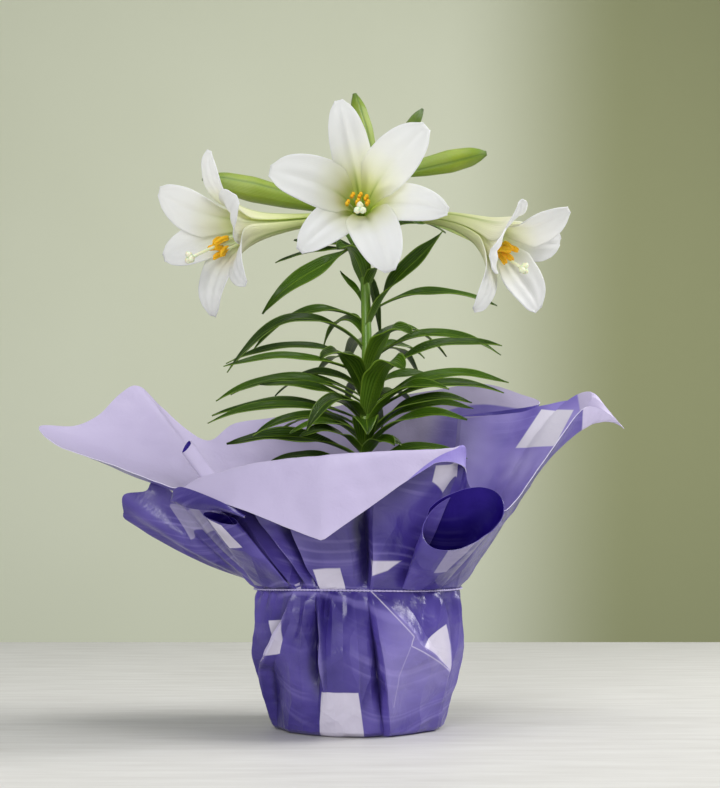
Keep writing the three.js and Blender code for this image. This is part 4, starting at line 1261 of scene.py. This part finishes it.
# Each leaf: height of its root, heading about Z (0 is right, 180 left, -90 the front), reach,
# rise of its middle and of its tip above the root, and width.
LEAVES = [
    (328, 165, 97, 11, -19, 13), (313, 138, 50, 20, -2, 16), (305, 183, 113, 25, -19, 15),
    (293, 170, 118, 17, 4, 11), (283, 190, 116, 15, 6, 11), (265, -118, 75, 30, 24, 22),
    (269, 150, 82, 20, 15, 12), (260, 178, 122, 22, 4, 14), (265, 162, 119, 20, 8, 11),
    (255, 197, 88, 18, 19, 12), (246, 173, 127, 17, 7, 13), (240, 187, 127, 19, 4, 12),
    (232, 208, 99, 17, -1, 12), (248, -128, 74, 14, -14, 16), (231, 220, 76, 13, 2, 10),
    (215, 184, 111, 19, 13, 19), (219, -138, 68, 18, 12, 15), (281, -50, 55, 34, 31, 24),
    (244, -62, 64, 44, 38, 26), (223, -88, 60, 22, 8, 21), (217, -62, 50, 13, 7, 17),
    (221, 32, 42, 12, 3, 14), (321, -24, 66, 45, 75, 21), (334, 18, 116, 22, 14, 12),
    (293, 10, 113, 27, 11, 13), (297, 42, 66, 16, 8, 12), (269, -9, 110, 38, 37, 14),
    (271, 38, 92, 18, 14, 13), (253, 5, 118, 32, 27, 14), (259, 24, 112, 22, 21, 10),
    (247, -14, 113, 28, 20, 12), (239, -38, 82, 32, 28, 16), (229, 14, 93, 32, 31, 13),
    (229, -20, 90, 33, 30, 14), (223, -30, 92, 26, 21, 15), (398, 188, 83, -29, -65, 16),
    (387, 158, 80, 3, -4, 9), (383, 150, 68, 14, 20, 13), (379, 20, 72, 34, 28, 16),
    (357, -125, 38, 26, 24, 24), (353, -40, 28, 18, 16, 17), (369, 72, 44, -10, -50, 9),
    (335, 145, 26, 24, 38, 6),
]
GOLDEN = 137.5  # turn from one leaf to the next at the back and low on the stem
BACK_LEAVES = 11
LOW_LEAVES = 8
LEAF_WIDTH = [(0, 0.3), (0.16, 0.7), (0.36, 1), (0.58, 0.95), (0.78, 0.68), (0.92, 0.34), (1, 0.03)]
LEAF_FOLD = 0.16  # how far the edges stand above the midrib, as a share of the width
LEAF_LEAN = math.radians(40)  # how far the face of a leaf at either side leans to the front
TURNED_LEAVES = (321, 398)  # root heights of the leaves that show their whole face
EXTRA_LEAN = math.radians(68)
LEAF_FILM = 0.7
LEAF_WAVE = 0.05  # height of the waves along its edges, as a share of the width
LEAF_WAVES = 2.2  # number of them along the leaf


def all_leaves():
    """The drawn leaves, then others that fill the back and the foot of the stem."""
    leaves = list(LEAVES)
    for k in range(BACK_LEAVES):
        low = k / BACK_LEAVES
        leaves.append((mix(309, 219, low), 48 + (k * GOLDEN) % 86, mix(104, 116, (k * 0.37) % 1),
                       mix(20, 28, low), mix(2, 18, low), 13))
    for k in range(LOW_LEAVES):
        low = k / LOW_LEAVES
        leaves.append((mix(203, 137, low), 20 + k * GOLDEN, mix(92, 66, low), mix(24, 34, low),
                       mix(16, 40, low), 12))
    return leaves


STEM_LINE = curve(STEM, 121)


def add_leaf(shape, leaf):
    """A narrow arching blade with a keeled section, wavy edges and a fine point."""
    root_z, heading, reach, rise, tip_rise, width = leaf
    root = STEM_LINE[np.argmin(np.abs(STEM_LINE[:, 2] - root_z))]
    out = np.append(turned(heading), 0)
    across = np.array([-out[1], out[0], 0])
    lift = (rise - tip_rise / 8) / 0.75
    t = np.linspace(0, 1, 34)
    path = root + np.multiply.outer(reach * t, out)
    path[:, 2] = root_z + 3 * (1 - t) * t * lift + t ** 3 * tip_rise
    along = unit(np.gradient(path, axis=0))
    lean = EXTRA_LEAN if leaf[0] in TURNED_LEAVES else LEAF_LEAN
    roll = lean * -across[1] * step(0.1, 0.5, t)
    flat = across * np.ones_like(path)
    upward = unit(np.cross(along, flat))
    side = flat * np.cos(roll)[:, None] - upward * np.sin(roll)[:, None]
    upward = unit(np.cross(along, side))
    share = np.linspace(1, -1, 11)
    half = width * soft(LEAF_WIDTH, t, 0.03) / 2
    keel = width * soft(LEAF_WIDTH, t, 0.03)[:, None] * LEAF_FOLD * np.abs(share) ** 1.4
    phase = random.uniform(0, 2 * math.pi, 2)[(share > 0).astype(int)]
    wave = LEAF_WAVE * width * np.sin(2 * math.pi * LEAF_WAVES * t[:, None] + phase) * np.abs(share) ** 2
    wave = wave * step(0.15, 0.4, t)[:, None]
    rows = (path[:, None] + (half[:, None] * share)[..., None] * side[:, None]
            + (keel + wave)[..., None] * upward[:, None])
    places = pairs((share + 1) / 2, t[:, None])
    shape.sheet(rows, LEAF_FILM, places, looks=(0, 1, 0), tone=random.uniform(0, 1))


def stem_leaves():
    shape = Shape()
    for leaf in all_leaves():
        add_leaf(shape, leaf)
    return shape.build("stem_leaves", [leaf_look("leaf_face", "182C02", "304E06", "527A10", 0.3),
                                       leaf_look("leaf_back", "2A4608", "446812", "688A26", 0.45)])


def stem_stalks():
    shape = Shape()
    line = curve(STEM, 60)
    radii = np.linspace(STEM_R, STEM_TOP_R, len(line))
    radii = radii + 0.25 * np.abs(np.sin(line[:, 2] / 5.5))
    shape.tube(line, radii, 20, tone=0.4)
    stalks = []
    for bloom in BLOOMS.values():
        stalks.append((bloom["base"], bloom_frame(bloom)[1], bloom["via"], *BLOOM_STALK_R))
    for bud in BUDS.values():
        way = unit(np.subtract(bud["tip"], bud["base"]))
        stalks.append((bud["base"], way, bud["via"], BUD_STALK_R, bud["radius"] * BUD_HEEL))
    for base, way, via, radius, end_radius in stalks:
        lead = np.array(base) - 8 * way
        line = curve([FORK, via, lead, np.array(base) + 1.0 * way], 30)
        swell = radius + (end_radius - radius) * np.linspace(0, 1, 30) ** 4
        shape.tube(line, swell, 14, tone=0.6)
    return shape.build("stem_stalks", [LOOKS["stalk"]])


def leaf_look(name, dark, mid, light, roughness):
    look = Look(name, roughness=roughness, coat_weight=0.2, coat_roughness=0.2, specular=0.2)
    across, along, _ = look.split(look.place())
    off = look.off_middle(across)
    shade = look.plus(look.times(look.tone(), 0.5), look.times(look.noise(40, 3), 0.5))
    base = look.ramp(shade, 0.15, dark, 0.5, mid, 0.9, light)
    veins = look.lines(across, 56.0)
    base = look.mix(look.times(look.band(veins, 0.3, 1.0), 0.45), base, light)
    rib = look.band(off, 0.01, 0.05, 0.55, 0.0)
    base = look.mix(rib, base, "7C9E2C")
    margin = look.band(off, 0.43, 0.49, 0.0, 0.6)
    base = look.mix(margin, base, "86A834")
    heel = look.band(along, 0.0, 0.16, 0.6, 0.0)
    look.give(base=look.mix(heel, base, "7FA040"))
    look.bump((veins, 0.2), (look.noise(260, 3), 0.2))
    return look.let_light_through(0.12)


# Soil, bulb and pot

POT_RIM_R = 79.5
POT_WALL = 1.8
POT_FOOT_R = 59
POT_FOOT = 1.1
BAND_Z = 96
SOIL_TOP = 97
SOIL_RADII = (12, 26, 52, 70)  # where the height of the soil is drawn, which lies a little hollow
SOIL_HEIGHTS = (97.5, 96.5, 94.5, 96)
CRUMB_HEIGHTS = (97.7, 96.7, 94.9, 96)
CRUMBS = 420
SOIL_FLOOR = 3.5
HOLE_R = 5
HOLE_FLOOR = 61.5
BULB_R = 24
BULB_Z = 36
BULB_TOP = 60
SCALE_RINGS = [(7, 0.25, 2.2), (8, 0.6, 2.65), (6, 1.2, 2.95)]  # how many scales, from and to which angle
SCALE_SPREAD = 30  # half the width of a scale, in degrees
SCALE_FILM = 1.1
# The pot's section, as radii and heights: under its base, round the band at its rim, and its floor inside.
POT_BASE = [(0, 3.1), (30, 3.1), (33, 1.1), (56, 1.1), (58.2, 1.7), (59, 3.6)]
POT_BAND = [(75.5, 96), (78.7, 96), (79.5, 96.8), (79.5, 109), (79.1, 109.8), (78.6, 110), (78, 109.7),
            (77.7, 109), (77.7, 97.8), (73.7, 96)]
POT_FLOOR = [(56.2, 3.2), (53, 2.9), (34, 2.9), (30, 4.7), (0, 4.7)]


def pot_radius(z):
    return mix(POT_FOOT_R, POT_RIM_R - 4, (z - POT_FOOT) / (BAND_Z - POT_FOOT))


def pot_shell():
    outside = [(pot_radius(z), z) for z in np.linspace(12, BAND_Z - 2, 24)]
    inside = [(pot_radius(z) - POT_WALL, z) for z in np.linspace(BAND_Z - 4, 6, 20)]
    shape = Shape()
    shape.lathe(POT_BASE + outside + POT_BAND + inside + POT_FLOOR, 96)
    look = Look("pot_plastic", roughness=0.45)
    look.give(base=look.ramp(look.noise(30, 3), 0.3, "1F2B20", 0.7, "2D3B2D"))
    return shape.build("pot_shell", [look.bump((look.noise(1300, 3), 0.08))], sharp=40)


def soil_bed():
    def inner(z):
        return pot_radius(z) - POT_WALL - 0.6

    low, high = SOIL_FLOOR, BAND_Z - 2
    profile = [(0, low), (30, low), (inner(low), low)]
    profile += [(inner(z), z) for z in np.linspace(low + 6, high, 16)]
    for r in np.linspace(inner(high) - 3, HOLE_R + 2.5, 34):
        profile.append((r, np.interp(r, SOIL_RADII, SOIL_HEIGHTS)))
    profile += [(HOLE_R + 0.8, SOIL_TOP), (HOLE_R, SOIL_TOP - 1), (HOLE_R, HOLE_FLOOR + 0.5),
                (0.5, HOLE_FLOOR), (0, HOLE_FLOOR)]

    def rough(rows):
        lumps = 0.8 * waves(rows, size=13, seed=21) + 0.5 * waves(rows, size=5, seed=22)
        return rows + (lumps * step(90, 94, rows[..., 2]))[..., None] * [0, 0, 1]

    shape = Shape()
    shape.lathe(profile, 120, move=rough)
    radius = np.sqrt(random.uniform((HOLE_R + 5) ** 2, 66 ** 2, CRUMBS))
    angle = random.uniform(0, 360, CRUMBS)
    for r, (x, y), size in zip(radius, turned(angle), random.uniform(0.8, 2.6, CRUMBS)):
        z = np.interp(r, SOIL_RADII, CRUMB_HEIGHTS) + 0.2 * size
        add_crumb(shape, (r * x, r * y, z), size)
    peat = grain_look("soil_peat", [0.2, "1D130C", 0.5, "35251A", 0.8, "5A4331"], 260, 5, 1.2, 0.7,
                      mottled=True, roughness=0.95)
    return shape.build("soil_bed", [peat])


def add_crumb(shape, middle, size):
    """A small knobbly lump."""
    lean = unit(random.normal(size=3))
    heights = np.array([-0.95, -0.5, 0.1, 0.6, 0.95])
    path = np.array(middle) + np.multiply.outer(heights * size * 0.8, lean)
    radii = size * np.sqrt(1 - heights ** 2) * random.uniform(0.8, 1.15, len(heights))
    shape.tube(path, radii, 7, tone=random.uniform(0, 1), squash=random.uniform(0.5, 0.9))


def bulb_scales():
    """A bulb of overlapping fleshy scales round a core."""
    shape = Shape()
    profile = [(0, BULB_Z - BULB_R)]
    for angle in np.linspace(0.14, math.pi - 0.1, 22):
        r = (BULB_R - 2.4) * math.sin(angle) ** 0.8
        profile.append((r, BULB_Z - (BULB_TOP - BULB_Z - 1.5) * math.cos(angle)))
    profile.append((0, BULB_TOP - 1.5))
    shape.lathe(profile, 48)
    for ring, (count, start, end) in enumerate(SCALE_RINGS):
        for k in range(count):
            middle = 360 * (k + 0.5 * ring) / count + random.uniform(-6, 6)
            s = np.linspace(0, 1, 16)[:, None]
            polar = start + (end - start) * s
            side = np.linspace(-1, 1, 11)
            spread_by = SCALE_SPREAD * np.sin(math.pi * np.clip(0.12 + 0.88 * s, 0, 1)) ** 0.6
            r = (BULB_R - 1.6 - 0.9 * side ** 2) * np.sin(polar) ** 0.8
            xy = r[..., None] * turned(middle + spread_by * side)
            z = BULB_Z - (BULB_TOP - BULB_Z - 1.2) * np.cos(polar) + 0 * side
            rows = np.concatenate([xy, z[..., None]], -1)
            tone = random.uniform(0, 1)
            shape.sheet(rows, SCALE_FILM, pairs((side + 1) / 2, s), looks=(0, 0, 0), tone=tone)
    flesh = grain_look(
        "bulb_flesh", [0.2, "B89A66", 0.5, "DCCBA0", 0.8, "EFE6C9"], 180, 4, 0.4, stretch=(1, 1, 0.2),
        mottled=True, roughness=0.6, subsurface_weight=0.1, subsurface_scale=0.003)
    return shape.build("bulb_scales", [flesh])


# Floor, backdrop and lights

TABLE = (-2.6, -2.2, 0), (2.6, 1.03, 0)  # opposite corners in metres
BACK_WALL = (-4, 2.3, -1.5), (4, 2.3, 3.5)


def add_stage():
    paint = grain_look("table_paint", [0.3, "CBC9C5", 0.7, "DAD9D6"], 9, 5, 0.3, 0.6, stretch=(1, 7, 1),
                       roughness=0.6)
    table = flat_piece("table", *TABLE, paint)
    wall = flat_piece("wall", *BACK_WALL, wall_look())


def flat_piece(name, low, high, look):
    """A flat rectangle between two opposite corners."""
    mesh = bpy.data.meshes.new(name)
    mesh.from_pydata([low, (high[0], *low[1:]), high, (low[0], *high[1:])], [], [(0, 1, 2, 3)])
    mesh.materials.append(look)
    return add_object(name, mesh)


WALL_SHADE = (0.2, 0.7)  # the wall grows darker from here to there, to the right, in metres


def wall_look():
    look = Look("wall_paint", roughness=0.9)
    paint = look.ramp(look.noise(1.2, 2), 0.3, "E2E6CA", 0.7, "E8ECD2")
    shade = look.band(look.split(look.solid_place())[0], *WALL_SHADE)
    look.give(base=look.mix(shade, paint, "A4A87C"))
    return look.bump((look.noise(300, 2), 0.1))


LIGHT_AIM = (0, 0, 0.25)  # in metres, as the places of the lights
SKY = (0.93, 0.95, 0.99, 1)
SKY_STRENGTH = 0.34
LIGHTS = [
    # name, place in metres, width, power in watts, colour
    ("window", (1.6, 0.1, 1.3), 0.9, 30, (1.0, 0.99, 0.97)),
    ("front", (-0.6, -2.2, 1.0), 1.0, 27, (1.0, 1.0, 0.99)),
    ("overhead", (0.0, -0.4, 2.0), 0.9, 13, (1.0, 1.0, 0.99)),
]


def add_lights():
    for name, place, width, power, tint in LIGHTS:
        data = bpy.data.lights.new(name, "AREA")
        data.energy = power
        data.size = width
        data.color = tint
        light = add_object(name, data)
        light.location = place
        aim = Vector(LIGHT_AIM) - Vector(place)
        light.rotation_euler = aim.to_track_quat("-Z", "Y").to_euler()
    world = bpy.data.worlds.new("studio")
    world.use_nodes = True
    backdrop = world.node_tree.nodes["Background"]
    backdrop.inputs["Color"].default_value = SKY
    backdrop.inputs["Strength"].default_value = SKY_STRENGTH
    bpy.context.scene.world = world
    bpy.context.scene.view_settings.view_transform = "Standard"


SMALL_BUD_DARKER = 0.6  # how much darker the skin of the smallest bud is made
LOOKS = {
    "stalk": grain_look(
        "stalk_skin", [0.3, "54801E", 0.55, "70962C", 0.75, "88A842"], 320, 3, 0.25, stretch=(1, 1, 0.12),
        roughness=0.4, coat_weight=0.1, subsurface_weight=0.08, subsurface_scale=0.002),
    "bud": bud_look("bud_skin", 0.0),
    "small bud": bud_look("bud_skin_darker", SMALL_BUD_DARKER),
}
WRAP_LOOKS = [
    violet_look("wrap_print", "32257A", "483A90", "6052A8", 0.3, 0.5),
    lining_look(),
    grain_look("wrap_cut", [0.3, "CFC8E2", 0.7, "E4E0F0"], 600, 2, 0.05, roughness=0.6),
    # A darker, duller copy of the print: the painted shade inside the rolls.
    violet_look("wrap_print_painted_shade", "10044E", "190A64", "2A187E", 0.0, 0.1),
]

add_camera()
add_stage()
add_lights()
for piece in (wrap_wall(), wrap_collar(), wrap_lobe(), wrap_roll("right", 0, 4), wrap_roll("under", 0, 6),
              wrap_roll("small", 1, 8), wrap_curl()):
    join(piece, "wrap", "wrap")
join(tie_string(), "tie", "tie")
for name in BLOOMS:
    join(bloom_petals(name), "petal", f"bloom_{name}")
    join(bloom_stamens(name), "stamen", f"stamens_{name}")
for name in BUDS:
    join(bud_body(name), "bud", f"bud_{name}")
join(stem_leaves(), "leaf", "leafy_stem")
join(stem_stalks(), "leaf", "leafy_stem")
join(pot_shell(), "pot", "pot")
join(soil_bed(), "soil", "soil")
join(bulb_scales(), "bulb", "bulb")
